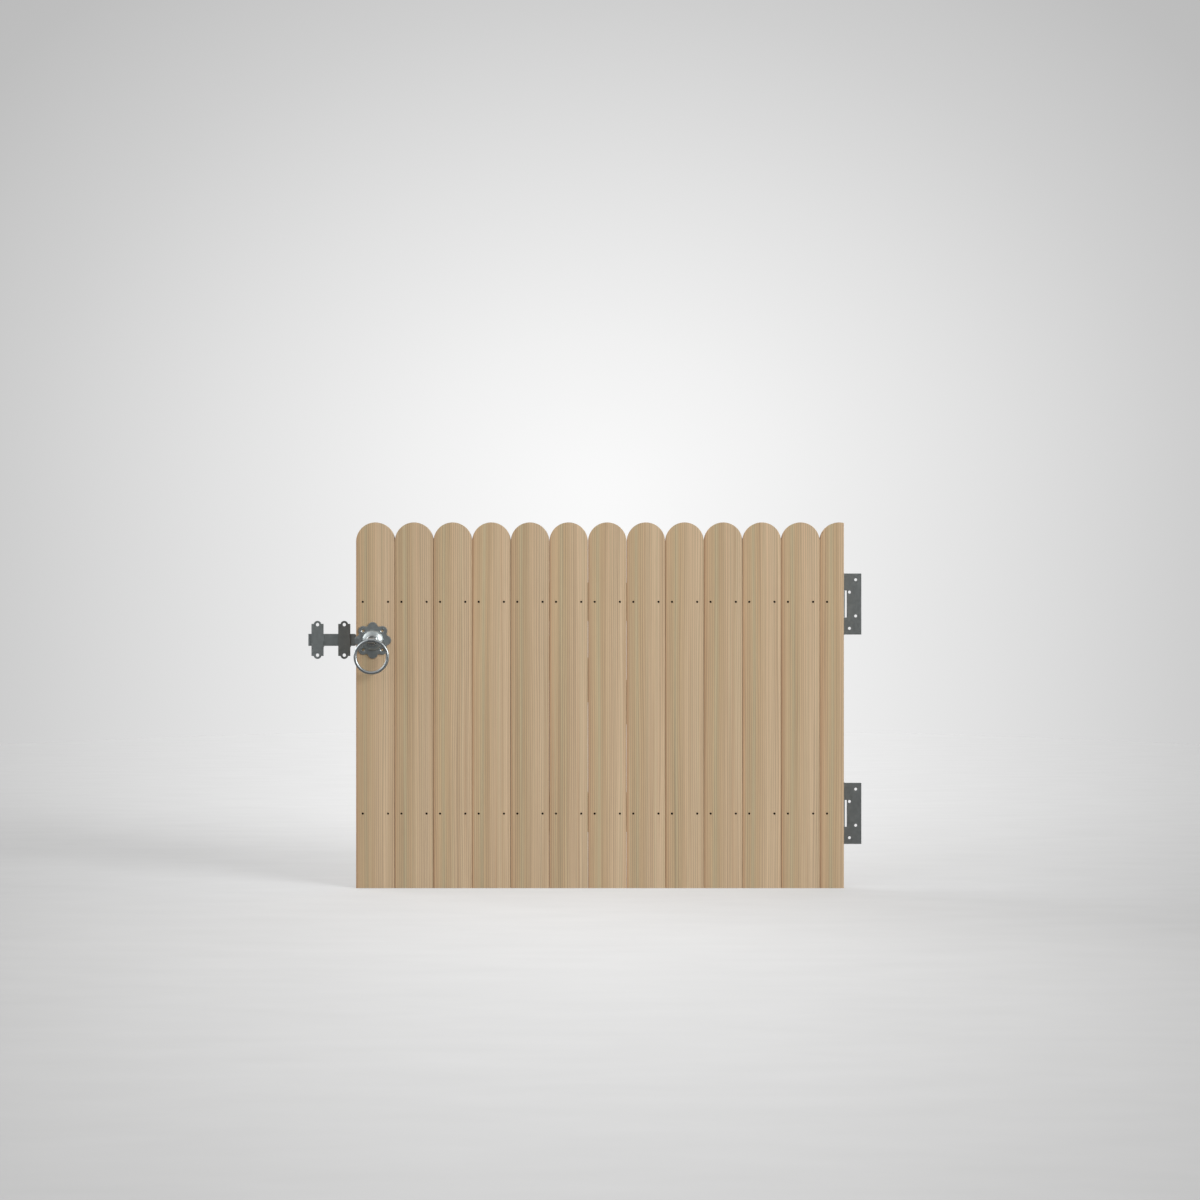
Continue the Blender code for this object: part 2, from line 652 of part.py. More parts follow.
def make_hub(axis):
    """The turning hub: a neck through the dome, a collar and the eye that the ring hangs in."""
    neck = COLLAR_BACK - HUB_FOOT
    profile = [
        (0, HUB_COLLAR_THICKNESS),
        (HUB_COLLAR_RADIUS - HUB_CHAMFER, HUB_COLLAR_THICKNESS),
        (HUB_COLLAR_RADIUS, HUB_COLLAR_THICKNESS - HUB_CHAMFER),
        (HUB_COLLAR_RADIUS, 0),
        (HUB_NECK_RADIUS, 0),
        (HUB_NECK_RADIUS, neck),
        (0, neck),
    ]
    hub = turned("ring_hub", profile, (SPINDLE_X, COLLAR_BACK, SPINDLE_Z), BRIGHT, 32)
    half = EYE_HEIGHT / 2
    nose = arc((EYE_Y, SPINDLE_Z), half, 270, 90, 10)
    root = COLLAR_FACE + HUB_COLLAR_THICKNESS / 2
    section = nose + [(root, SPINDLE_Z + half), (root, SPINDLE_Z - half)]
    left = SPINDLE_X - EYE_WIDTH / 2
    boolean(hub, as_mesh(section_along_x("eye_block", section, left, EYE_WIDTH, BRIGHT)), "UNION")
    start = (left - OVERCUT, EYE_Y, SPINDLE_Z)
    boolean(hub, rod("eye_bore", start, "X", EYE_BORE_RADIUS, EYE_WIDTH + 2 * OVERCUT, 24))
    side = SPINDLE_SIDE / 2 + PIN_CLEARANCE
    low = (SPINDLE_X - side, HUB_FOOT - SOCKET_DEPTH, SPINDLE_Z - side)
    high = (SPINDLE_X + side, HUB_FOOT + OVERCUT, SPINDLE_Z + side)
    boolean(hub, block("spindle_socket", low, high))
    carry(axis, hub)


def make_spindle(axis):
    side = SPINDLE_SIDE / 2
    low = (SPINDLE_X - side, HUB_FOOT - SOCKET_DEPTH + SEAT, SPINDLE_Z - side)
    spindle = block("spindle", low, (SPINDLE_X + side, SPINDLE_TAIL, SPINDLE_Z + side))
    reach = BAR_BACK + SEAT + WASHER_THICKNESS + SEAT
    middle = reach + COTTER_RADIUS
    start = (SPINDLE_X, middle, SPINDLE_Z - SPINDLE_SIDE)
    radius = COTTER_RADIUS + PIN_CLEARANCE
    boolean(spindle, rod("cotter_hole", start, "Z", radius, 2 * SPINDLE_SIDE, 12))
    foot = (SPINDLE_X, middle, SPINDLE_Z - COTTER_LENGTH / 2)
    cotter = rod("cotter_pin", foot, "Z", COTTER_RADIUS, COTTER_LENGTH, 12)
    bore = SPINDLE_SIDE / math.sqrt(2) + PIN_CLEARANCE
    rim = circle((SPINDLE_X, SPINDLE_Z), WASHER_RADIUS, 28)
    hole = [(SPINDLE_X, SPINDLE_Z, bore)]
    washer = slab("spindle_washer", rim, BAR_BACK + SEAT, WASHER_THICKNESS, STEEL, hole)
    carry(axis, spindle, cotter, washer)


def bar_outline():
    """From the square tip along the tongue, over its round shoulders, along the neck, round the boss."""
    half, neck = BAR_HEIGHT / 2, BAR_NECK_HEIGHT / 2
    tip = LATCH_EDGE - BAR_PAST_EDGE
    radius = min(BAR_SHOULDER_RADIUS, half - neck)
    shoulder = LATCH_EDGE - BAR_SHOULDER_GAP
    upper = arc((shoulder - radius, SPINDLE_Z + half - radius), radius, 90, 0, 5)
    lower = arc((shoulder - radius, SPINDLE_Z - half + radius), radius, 0, -90, 5)
    boss = math.degrees(math.asin(neck / BAR_BOSS_RADIUS))
    round_boss = arc((SPINDLE_X, SPINDLE_Z), BAR_BOSS_RADIUS, 180 - boss, boss - 180, 20)
    roots = [(shoulder, SPINDLE_Z + neck), (shoulder, SPINDLE_Z - neck)]
    ends = [(tip, SPINDLE_Z - half), (tip, SPINDLE_Z + half)]
    return [*ends, *upper, roots[0], *round_boss, roots[1], *lower]


def make_bar(axis):
    side = SPINDLE_SIDE / 2 + PIN_CLEARANCE
    square = rectangle(SPINDLE_X - side, SPINDLE_X + side, SPINDLE_Z - side, SPINDLE_Z + side)
    bar = flat_curve("latch_bar", [bar_outline(), square], BAR_THICKNESS, STEEL)
    bar.rotation_euler = (math.pi / 2, 0, 0)
    bar.location.y = BAR_FACE + BAR_THICKNESS / 2
    carry(axis, bar)


def make_ring(axis):
    """The ring hangs with its wire SEAT above the eye's bore at the two mouths of the bore."""
    drop = EYE_BORE_RADIUS - RING_WIRE_RADIUS - SEAT
    bpy.ops.mesh.primitive_torus_add(
        major_radius=RING_MEAN_RADIUS,
        minor_radius=RING_WIRE_RADIUS,
        major_segments=56,
        minor_segments=12,
        location=(SPINDLE_X, EYE_Y, SPINDLE_Z - drop + RING_SAG - RING_MEAN_RADIUS),
        rotation=(math.pi / 2, 0, 0),
    )
    ring = bpy.context.object
    ring.name = "ring_handle"
    ring.data.materials.append(material(*BRIGHT))
    ring.data.shade_smooth()
    for holder in list(ring.users_collection):
        holder.objects.unlink(ring)
    GATE.objects.link(ring)
    carry(axis, ring)


def small_screw_places():
    """The screws of the back plate and of the guide."""
    middle = GUIDE_INSET + GUIDE_WIDTH / 2
    x = LATCH_EDGE + max(middle, LEDGE_INSET + GUIDE_SCREW_EDGE)
    lug = GUIDE_SHEET + GUIDE_LUG / 2
    return {
        "back_plate_screw_1": (SPINDLE_X, SPINDLE_Z + BACK_PLATE_HOLE),
        "back_plate_screw_2": (SPINDLE_X, SPINDLE_Z - BACK_PLATE_HOLE),
        "guide_screw_1": (x, SPINDLE_Z + GUIDE_RISE + lug),
        "guide_screw_2": (x, SPINDLE_Z - GUIDE_DROP - lug),
    }


def make_back_plate(axis):
    half, radius = BACK_PLATE_HEIGHT / 2, BACK_PLATE_WIDTH / 2
    outline = arc((SPINDLE_X, SPINDLE_Z + half - radius), radius, 0, 180, 12)
    outline += arc((SPINDLE_X, SPINDLE_Z - half + radius), radius, 180, 360, 12)
    hole = SMALL_SCREW[0] + PIN_CLEARANCE
    places = small_screw_places()
    holes = [(*places[name], hole) for name in places if name.startswith("back")]
    holes += [(SPINDLE_X, SPINDLE_Z, SPINDLE_BORE_RADIUS)]
    plate = slab("back_plate", outline, PLATE_FACE, LATCH_SHEET, STEEL, holes)
    carry(axis, plate)


def make_guide(axis):
    """A strip bent out over the bar's neck, with a lug at each end."""
    bottom, top = SPINDLE_Z - GUIDE_DROP, SPINDLE_Z + GUIDE_RISE
    t = GUIDE_SHEET
    crown = BAR_BACK + BAR_PLAY
    low, high = bottom - t - GUIDE_LUG, top + t + GUIDE_LUG
    section = [
        (PLATE_FACE, low),
        (PLATE_FACE + t, low),
        (PLATE_FACE + t, bottom - t),
        (crown + t / 2, bottom - t),
        (crown + t, bottom - t / 2),
        (crown + t, top + t / 2),
        (crown + t / 2, top + t),
        (PLATE_FACE + t, top + t),
        (PLATE_FACE + t, high),
        (PLATE_FACE, high),
        (PLATE_FACE, top),
        (crown, top),
        (crown, bottom),
        (PLATE_FACE, bottom),
    ]
    left = LATCH_EDGE + GUIDE_INSET
    guide = as_mesh(section_along_x("bar_guide", section, left, GUIDE_WIDTH, STEEL))
    places = small_screw_places()
    radius = SMALL_SCREW[0] + PIN_CLEARANCE
    for name in ("guide_screw_1", "guide_screw_2"):
        x, z = places[name]
        boolean(guide, rod(f"{name}_hole", (x, PLATE_FACE - t, z), "Y", radius, 3 * t, 12))
    carry(axis, guide)


def make_small_screws(axis):
    sheets = {"back": LATCH_SHEET, "guide": GUIDE_SHEET}
    for name, (x, z) in small_screw_places().items():
        face = PLATE_FACE + sheets[name.split("_")[0]] + SEAT
        carry(axis, screw(name, x, z, face, SMALL_SCREW, SMALL_SCREW_LENGTH))


def keep_outline(middle):
    """A plate with a round lug, drilled for a screw, at the middle of each end."""
    half, width = KEEP_HEIGHT / 2, KEEP_WIDTH / 2
    rise = half - KEEP_HOLE_REACH
    start = math.degrees(math.asin(rise / KEEP_LUG_RADIUS))
    top = arc((middle, SPINDLE_Z + KEEP_HOLE_REACH), KEEP_LUG_RADIUS, start, 180 - start, 14)
    foot = arc((middle, SPINDLE_Z - KEEP_HOLE_REACH), KEEP_LUG_RADIUS, 180 + start, 360 - start, 14)
    high, low = SPINDLE_Z + half, SPINDLE_Z - half
    left, right = middle - width, middle + width
    return [(right, low), (right, high), *top, (left, high), (left, low), *foot]


def make_keep(name, middle):
    """A hook that the bar drops into: a plate, a shelf under the bar and a lip behind it."""
    t = LATCH_SHEET
    end = KEEP_HOLE_REACH + KEEP_LUG_RADIUS
    back = PLATE_FACE + t
    lip = BAR_BACK + BAR_PLAY
    shelf = SPINDLE_Z - BAR_HEIGHT / 2 - SEAT
    bend = arc((lip, shelf), t, 270, 360, 5)
    section = [(PLATE_FACE, SPINDLE_Z - end), (back, SPINDLE_Z - end), (back, shelf - t)]
    section += bend
    section += [
        (lip + t, SPINDLE_Z + KEEP_LIP_RISE),
        (lip, SPINDLE_Z + KEEP_LIP_RISE),
        (lip, shelf),
        (back, shelf),
        (back, SPINDLE_Z + end),
        (PLATE_FACE, SPINDLE_Z + end),
    ]
    left = middle - KEEP_WIDTH
    keep = as_mesh(section_along_x(name, section, left, 2 * KEEP_WIDTH, STEEL))
    depth = 4 * (lip + t - PLATE_FACE)
    outline = slab(f"{name}_outline", keep_outline(middle), PLATE_FACE - depth / 2, depth, STEEL)
    boolean(keep, as_mesh(outline), "INTERSECT")
    for number, side in enumerate((1, -1), 1):
        start = (middle, PLATE_FACE - t, SPINDLE_Z + side * KEEP_HOLE_REACH)
        boolean(keep, rod(f"{name}_hole_{number}", start, "Y", KEEP_HOLE_RADIUS, 3 * t, 20))


def make_keeps():
    near = LATCH_EDGE - NEAR_KEEP_GAP - KEEP_WIDTH / 2
    make_keep("near_keep", near)
    make_keep("far_keep", near - KEEP_PITCH)


def origin_on_upper_leaf():
    """Moves everything, cutters too, so that the origin is between that leaf's two rows of holes."""
    whole = axis_empty("bedding_point", (0, 0, 0))
    carry(whole, *[obj for obj in bpy.data.objects if obj.parent is None and obj != whole])
    middle = LEAF_REACH - (LEAF_HOLE_OUTER + LEAF_HOLE_INNER) / 2
    whole.location = (-middle, -PLATE_FACE, -HINGE_HEIGHTS["upper"])


def main():
    swing = axis_empty("gate_swing_axis", (0, 0, 0))
    turn = axis_empty("latch_turn_axis", (SPINDLE_X, BOARD_FACE, SPINDLE_Z))
    hang = axis_empty("ring_swing_axis", (SPINDLE_X, EYE_Y, SPINDLE_Z))
    carry(swing, turn)
    carry(turn, hang)
    make_boards(swing)
    make_ledges(swing)
    make_brace(swing)
    make_lock_block(swing)
    make_deep_screws(swing)
    make_hinges(swing)
    make_rose(swing)
    make_back_plate(swing)
    make_guide(swing)
    make_small_screws(swing)
    make_hub(turn)
    make_spindle(turn)
    make_bar(turn)
    make_ring(hang)
    make_keeps()
    origin_on_upper_leaf()


clear_scene()
GATE = collection("garden_gate")
CUTTERS = collection("cutters", hidden=True)
main()
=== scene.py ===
"""Looks of the garden gate: finished meshes, materials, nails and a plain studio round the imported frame.

Frame: +X from the latch side to the hinge side, +Y from the boarded face to the back, +Z up, in metres.
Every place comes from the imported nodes' boxes.
"""

import json
import math

import bmesh
import bpy
from mathutils import Matrix, Vector

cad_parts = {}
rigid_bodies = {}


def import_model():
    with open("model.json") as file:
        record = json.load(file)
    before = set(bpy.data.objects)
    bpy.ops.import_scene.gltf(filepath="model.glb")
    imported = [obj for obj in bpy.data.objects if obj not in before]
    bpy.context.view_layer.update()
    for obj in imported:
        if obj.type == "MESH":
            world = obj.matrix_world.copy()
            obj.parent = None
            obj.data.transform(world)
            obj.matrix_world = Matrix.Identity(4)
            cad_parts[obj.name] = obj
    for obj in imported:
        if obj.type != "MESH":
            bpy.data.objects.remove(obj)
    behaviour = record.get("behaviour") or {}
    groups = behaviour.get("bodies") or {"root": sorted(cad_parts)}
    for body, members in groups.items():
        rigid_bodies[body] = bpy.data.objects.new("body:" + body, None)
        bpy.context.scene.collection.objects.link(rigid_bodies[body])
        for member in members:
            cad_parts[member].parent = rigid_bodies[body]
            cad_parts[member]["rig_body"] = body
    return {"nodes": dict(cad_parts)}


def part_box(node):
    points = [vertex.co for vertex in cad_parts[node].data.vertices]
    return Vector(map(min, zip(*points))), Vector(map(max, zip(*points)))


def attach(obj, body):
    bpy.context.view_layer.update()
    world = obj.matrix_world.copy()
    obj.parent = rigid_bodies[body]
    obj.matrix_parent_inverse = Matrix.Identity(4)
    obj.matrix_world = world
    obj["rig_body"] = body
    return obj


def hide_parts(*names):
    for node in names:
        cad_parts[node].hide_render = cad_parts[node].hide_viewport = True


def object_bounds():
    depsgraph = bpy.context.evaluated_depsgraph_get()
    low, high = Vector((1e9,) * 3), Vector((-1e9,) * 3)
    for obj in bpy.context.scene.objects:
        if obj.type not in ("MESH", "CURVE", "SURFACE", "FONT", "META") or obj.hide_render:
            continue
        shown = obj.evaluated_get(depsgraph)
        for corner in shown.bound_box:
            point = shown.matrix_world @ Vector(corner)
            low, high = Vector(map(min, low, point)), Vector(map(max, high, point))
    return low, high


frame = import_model()
CAD_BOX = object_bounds()

# Shapes: lengths in metres, angles in degrees ----------------------------------------------------
MERGE = 0.000002  # vertices nearer than this are one
CUT = 0.001  # how far a cutting tool stands out of what it cuts
FLAT_ANGLE = 1.0  # faces that meet at less are one flat face
ROUNDED_ANGLE = 38.0  # edges that turn by more are rounded
CRISP_ANGLE = 35.0  # edges that turn by more aren't shaded smooth
BOARD_EDGE = 0.0005  # rounding of a board's edges
TIMBER_EDGE = 0.0011  # rounding of a ledge's, the brace's and the block's edges
SHEET_EDGE = 0.00035  # rounding of the metal sheets' edges
ROSE_EDGE = 0.0005
TOP_STEPS = 56  # in a board's round top
COLLAR_STEPS = 5
HOLE_SIDES = 28
NAIL_SIDES = 20
SCREW_SIDES = 32
SINK_SIDES = 40
BORE_SIDES = 48
ROUND_SIDES = 96
RING_STEPS = 144
WIRE_SIDES = 32

NAIL_HEAD_RADIUS = 0.0026
NAIL_SHANK_RADIUS = 0.0013
NAIL_HEAD_HEIGHT = 0.0012
NAIL_DISH = 0.0002  # the fall of the head's middle and rim
NAIL_POINT = 0.004
NAIL_LENGTH = 0.040
NAIL_SINK = 0.0009  # of the head below the board's face
NAIL_HOLE_CLEARANCE = 0.00012
NAIL_FROM_MIDDLE = 0.03105  # each side of a full board's middle
LONE_NAIL_INSET = 0.0174  # from the left edge of the narrow board
NARROWER = 0.001  # a board that is narrower than the first by more takes the lone nail
SPINDLE_HOLE_CLEARANCE = 0.0013

ROSE_SHEET = 0.0025
PETAL_COUNT = 8
PETAL_RADIUS = 0.012
PETAL_CIRCLE = 0.033
PETAL_STEPS = 20
ROSE_RADIUS = 0.0372
ROSE_HOLE_RADIUS = 0.0032
ROSE_SINK_RADIUS = 0.0050
DOME_RADIUS = 0.026
DOME_HEIGHT = 0.014
DOME_SHEET = 0.002
DOME_MOUTH = 0.0105
DOME_LAP = 0.0004  # of the dome's foot into the flat sheet
CROWN_STEPS = 28
HOLLOW_STEPS = 20

COLLAR_RADIUS = 0.0135
COLLAR_THICKNESS = 0.004
COLLAR_ROUNDING = 0.0026
COLLAR_GAP = 0.0003  # between the rose and the collar
NECK_RADIUS = 0.0098
EYE_WIDTH = 0.017
EYE_BORE_RADIUS = 0.005
EYE_WALL = 0.002
EYE_EDGE = 0.0007
NOSE_STEPS = 24
SOCKET_DEPTH = 0.012  # of the spindle's square socket in the hub
SOCKET_CLEARANCE = 0.0003
RING_WIRE_RADIUS = 0.004

SMALL_HEAD = 0.0045  # screws with a head of less radius are small ones
SMALL_SCREW = (0.0018, 0.0020)  # the head's height and the shank's radius
LARGE_SCREW = (0.0026, 0.0025)
SCREW_CROWN_STEPS = 10
SCREW_POINT = 0.8  # the share of the shank before its point
RECESS_LENGTH = 1.15  # of the head's radius
RECESS_WIDTH = 0.27  # of the head's radius
RECESS_DEPTH = 1.2  # of the head's height
RECESS_TAPER = (0.45, 0.6)  # what is left of the length and of the width at the bottom
RECESS_SINK = 0.1  # of the recess's middle below the head's top, as a share of the head's height
RECESS_TURN = 1.13  # from one screw's recess to the next one's, in radians

# Wood: colours are linear, tones are factors, and waves are those of a noise ---------------------
NOISE_SPAN = (0.3, 0.7)  # most of a noise lies between these
BOARD_TONES = [
    (0.00, (0.385, 0.223, 0.118)),
    (0.03, (0.462, 0.300, 0.172)),
    (0.08, (0.500, 0.348, 0.207)),
    (0.21, (0.480, 0.350, 0.208)),
    (0.28, (0.458, 0.365, 0.226)),
    (0.36, (0.484, 0.346, 0.206)),
    (0.62, (0.545, 0.398, 0.254)),
    (0.86, (0.560, 0.417, 0.271)),
    (0.985, (0.545, 0.395, 0.250)),
    (1.00, (0.460, 0.315, 0.190)),
]  # from a board's left edge to its right edge
BOARD_PAINTED_HEIGHT_SHADE = (0.821, 0.978)  # at the foot and at the top: painted shade, darker towards the foot
BOARD_PAINTED_SIDE_LIGHT = (0.950, 1.045)  # at the latch side and at the hinge side: painted light, brighter towards the hinge side where the key lamp stands
BOARD_CHANCE_TONE = (0.975, 1.02)  # from board to board
BAND_DRIFT = 0.05  # of the tones to each side, as a share of the board's width
BAND_WAVES = 1.1  # for each metre along
BAND_SLICE = 4.0  # of the noise, away from the one that bends the lines
BAND_HOLD = (0.38, 0.5)  # from the board's middle: between these the drift dies away
REDDISH = (0.36, 0.232, 0.132)
REDDISH_SPAN = (0.54, 0.72)  # of its noise
REDDISH_SHARE = 0.45
REDDISH_WAVES = (95.0, 0.8)  # for each metre across and along
GREENISH = (0.430, 0.370, 0.232)
GREENISH_SPAN = (0.5, 0.7)
GREENISH_SHARE = 0.35
GREENISH_WAVES = 260.0
TIMBER_TONES = [
    (0.00, (0.480, 0.329, 0.193)),
    (0.40, (0.508, 0.364, 0.221)),
    (0.70, (0.550, 0.399, 0.254)),
    (1.00, (0.497, 0.347, 0.206)),
]
TIMBER_SPAN = (0.25, 0.75)  # of the noise that picks the tone
TIMBER_WAVES = 1.4  # across the width
TIMBER_STRETCH = 0.8  # of the waves for each metre along
TIMBER_WIDTH = 0.095
BLOCK_WIDTH = 0.094
TIMBER_SEEDS = {"upper_ledge": 21.3, "lower_ledge": 34.8, "block": 47.1, "brace": 58.6}
LINE_PITCH = 0.0053  # between the fine growth lines
LINE_TONE = (0.82, 1.08)  # in the dark and the pale part of a line
LINE_WANDER = 0.0016  # to each side
LINE_LEAN = 0.35  # of the growth rings through the thickness
LINE_UNEVENNESS = 2.6  # of the spacing, in lines
LINE_SHARPNESS = 1.8
LINE_PATCHES = (0.35, 0.65)  # of a noise that makes the lines faint and strong
LINE_STRENGTH = (0.45, 1.25)  # where they are faint and where they are strong
SEED_CHANCE = 3.0  # most that chance adds to a board's number as its seed
SEED_STEP = 13.7  # lines between one seed's and the next one's
BEND_WAVES = 1.6  # for each metre along
SPACING_WAVES = (0.23, 0.9)  # for each line across and each metre along
PATCH_WAVES = 0.31
STREAK_WAVES = (0.62, 1.3)
STREAK_TONE = (0.90, 1.08)
PORE_WAVES = (900.0, 22.0)  # for each metre across and along
PORE_TONE = (0.965, 1.03)
END_TONE = 0.80  # of end grain
END_FROM = (0.55, 0.9)  # the normal's share along the grain, where end grain begins and is full
WOOD_ROUGH = (0.74, 0.60)  # in the dark and in the pale streaks
WOOD_SPECULAR = 0.30
WOOD_RELIEF = (0.35, 0.0003)  # strength and height

# Metals: linear colour, roughness, strength of the rubbing marks, strength of the blotches -------
METALS = {
    "zinc": ((0.340, 0.370, 0.370), 0.50, 0.25, 0.08),
    # The hinges' copy of the zinc is darker: painted shade, which holds down the hinge side standing fully
    # in the lamps.
    "hinge_zinc_painted_shade": ((0.262, 0.280, 0.279), 0.50, 0.25, 0.08),
    # The near keep's copy of the zinc is darker and warmer: painted shade of the gate, warmed by painted
    # light thrown back from the wood.
    "dull_zinc_painted_shade": ((0.292, 0.304, 0.294), 0.55, 0.35, 0.12),
    "rose_zinc": ((0.418, 0.453, 0.455), 0.40, 0.20, 0.06),
    "ring_steel": ((0.400, 0.432, 0.445), 0.38, 0.10, 0.05),
    "hub_steel": ((0.450, 0.470, 0.475), 0.22, 0.08, 0.05),
    "nail_steel": ((0.020, 0.015, 0.012), 0.60, 0.3, 0.2),
}
CLOUD_WAVES = 46.0  # for each metre
BLOTCH_WAVES = 170.0
MARK_WAVES = (1400.0, 90.0)  # across and along the rubbing marks
METAL_GLOSS_SPAN = (0.85, 1.2)  # of the roughness
METAL_RELIEF = 0.0001

# Studio ------------------------------------------------------------------------------------------
CAMERA_DISTANCE = 4.10  # from the boards' face
CAMERA_RISE = 0.709  # above the underside of the gate
LENS = 50.0
SENSOR = 36.0

MIDDLE = (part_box("board_01")[0].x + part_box("board_13")[1].x) / 2
GLOW_HEIGHT = 0.72  # of the glow's middle
GLOW_NARROWING = 0.86  # sideways against upwards
GLOW_WIDTH = 4.15  # at the gate; the widths are shares of the fall below
GLOW_WIDENING = (1.0, 0.35, -1.2)  # for each metre to the back, a little to the front and far to the front
GLOW_REACH = 0.70  # of the fall below, as a share of the width
GLOW_SOFTNESS = 0.25  # rounds the glow's middle
GLOW = [0.975, 0.880, 0.757, 0.627, 0.518, 0.470, 0.450, 0.445]  # evenly spaced, from the middle outwards
FLOOR_SHARE = [0.690, 0.815, 0.900, 0.935, 0.975, 1.0]  # of the glow, evenly spaced from front to back
FLOOR_SPAN = (-2.4, 1.6)
FLOOR_RIM = (2.5, 4.4)  # between these distances from the middle the floor comes up to the wall's tone
FLOOR_TONE = 0.38
FLOOR_LIT = 0.483  # what the lamps and the sky add to the floor
FIBRE_WAVES = (4.0, 16.0)  # for each metre to the side and to the back
FIBRE_TONE = (0.985, 1.015)
PAPER_ROUGH = 0.9
FLOOR_RADIUS = 5.0
COVE_RADIUS = 3.0
COVE_STEPS = 24
WALL_HEIGHT = 12.0
STAGE_STEPS = 128
SKY = [(0.0, 0.24), (0.30, 0.11), (0.44, 0.06), (0.52, 0.25), (0.66, 0.42), (1.0, 0.80)]  # upwards
SIDE_GLOW = 0.80  # of the sky beside and behind the gate
SIDE_FLOOR = 0.30  # of the same below the horizon
SIDE_FROM = (0.45, 0.10)  # the direction's share towards the front, where the glow starts and is full
SIDE_RISE = (-0.05, 0.12)  # the direction's share upwards, from the floor's level to the glow's
LAMPS = [
    ("key", 59, 20, 2.7, 28),
    ("left_fill", -68, 32, 0.7, 55),
    ("back_rim", -110, 22, 1.25, 34),
]  # azimuth and rise in degrees, strength, spread in degrees


# Node graphs -------------------------------------------------------------------------------------
class Graph:
    """A node tree with short ways to add to it. A value is a number, a tuple or another node's socket."""

    def __init__(self, tree):
        self.tree = tree

    def add(self, kind, sockets=None, **settings):
        node = self.tree.nodes.new(kind)
        for key, value in settings.items():
            setattr(node, key, value)
        for key, value in (sockets or {}).items():
            self.plug(value, node.inputs[key])
        return node

    def plug(self, value, socket):
        if isinstance(value, bpy.types.NodeSocket):
            self.tree.links.new(value, socket)
        else:
            socket.default_value = value

    def maths(self, operation, *values):
        return self.add("ShaderNodeMath", dict(enumerate(values)), operation=operation).outputs[0]

    def remap(self, value, low, high, new_low, new_high):
        sockets = {"Value": value, "From Min": low, "From Max": high, "To Min": new_low, "To Max": new_high}
        return self.add("ShaderNodeMapRange", sockets).outputs["Result"]

    def noise(self, vector, scale=1.0, detail=2.0, rough=0.5):
        sockets = {"Vector": vector, "Scale": scale, "Detail": detail, "Roughness": rough}
        return self.add("ShaderNodeTexNoise", sockets).outputs["Fac"]

    def vector(self, x, y, z):
        return self.add("ShaderNodeCombineXYZ", {"X": x, "Y": y, "Z": z}).outputs["Vector"]

    def parts(self, vector):
        return self.add("ShaderNodeSeparateXYZ", {"Vector": vector}).outputs

    def ramp(self, value, stops, interpolation="LINEAR"):
        node = self.add("ShaderNodeValToRGB", {"Fac": value})
        node.color_ramp.interpolation = interpolation
        points = node.color_ramp.elements
        while len(points) < len(stops):
            points.new(1.0)
        for point, (place, colour) in zip(points, stops):
            point.position = place
            point.color = (*colour, 1.0)
        return node.outputs["Color"]

    def mix(self, share, first, second, blend="MIX"):
        node = self.add("ShaderNodeMix", data_type="RGBA", blend_type=blend)
        self.plug(share, node.inputs[0])
        for value, socket in ((first, node.inputs[6]), (second, node.inputs[7])):
            self.plug((*value, 1.0) if isinstance(value, tuple) else value, socket)
        return node.outputs[2]

    def brightened(self, colour, factor):
        return self.add("ShaderNodeHueSaturation", {"Color": colour, "Value": factor}).outputs["Color"]

    def times(self, value, factor):
        return self.maths("MULTIPLY", value, factor)

    def length(self, vector):
        return self.add("ShaderNodeVectorMath", {0: vector}, operation="LENGTH").outputs["Value"]

    def spread(self, noise, low, high):
        """A noise brought to run from about low to about high."""
        return self.remap(noise, *NOISE_SPAN, low, high)

    def bump(self, height, strength, distance):
        sockets = {"Height": height, "Strength": strength, "Distance": distance}
        return self.add("ShaderNodeBump", sockets).outputs["Normal"]


def new_material(name):
    made = bpy.data.materials.new(name)
    made.use_nodes = True
    graph = Graph(made.node_tree)
    return made, graph, made.node_tree.nodes["Principled BSDF"]


def grain(graph, across, depth, along, seed):
    """Fine straight growth lines: (lines, streaks, pores), each from about 0 to 1."""
    bend = graph.noise(graph.vector(seed, 0.0, graph.times(along, BEND_WAVES)), 1.0, 2.0)
    shift = graph.spread(bend, -LINE_WANDER, LINE_WANDER)
    tilted = graph.maths("MULTIPLY_ADD", depth, LINE_LEAN, graph.maths("ADD", across, shift))
    place = graph.maths("MULTIPLY_ADD", tilted, 1 / LINE_PITCH, graph.times(seed, SEED_STEP))
    slow = graph.times(along, SPACING_WAVES[1])
    uneven = graph.noise(graph.vector(graph.times(place, SPACING_WAVES[0]), 0.0, slow), 1.0, 2.0)
    wavy = graph.maths("MULTIPLY_ADD", uneven, LINE_UNEVENNESS, place)
    turn = graph.maths("SINE", graph.times(wavy, 2 * math.pi))
    dark = graph.maths("POWER", graph.remap(turn, -1.0, 1.0, 0.0, 1.0), LINE_SHARPNESS)
    patchy = graph.noise(graph.vector(graph.times(place, PATCH_WAVES), seed, slow), 1.0, 2.0)
    strength = graph.remap(patchy, *LINE_PATCHES, *LINE_STRENGTH)
    lines = graph.maths("SUBTRACT", 1.0, graph.times(dark, strength))
    broad = graph.vector(graph.times(place, STREAK_WAVES[0]), seed, graph.times(along, STREAK_WAVES[1]))
    streaks = graph.noise(broad, 1.0, 3.0, 0.6)
    fine = graph.vector(
        graph.times(across, PORE_WAVES[0]),
        graph.times(depth, PORE_WAVES[0]),
        graph.times(along, PORE_WAVES[1]),
    )
    pores = graph.noise(fine, 1.0, 2.0, 0.6)
    return lines, streaks, pores


def end_grain(graph, share):
    """How far a face is end grain, from its normal's share along the grain."""
    return graph.remap(graph.maths("ABSOLUTE", share), *END_FROM, 0.0, 1.0)


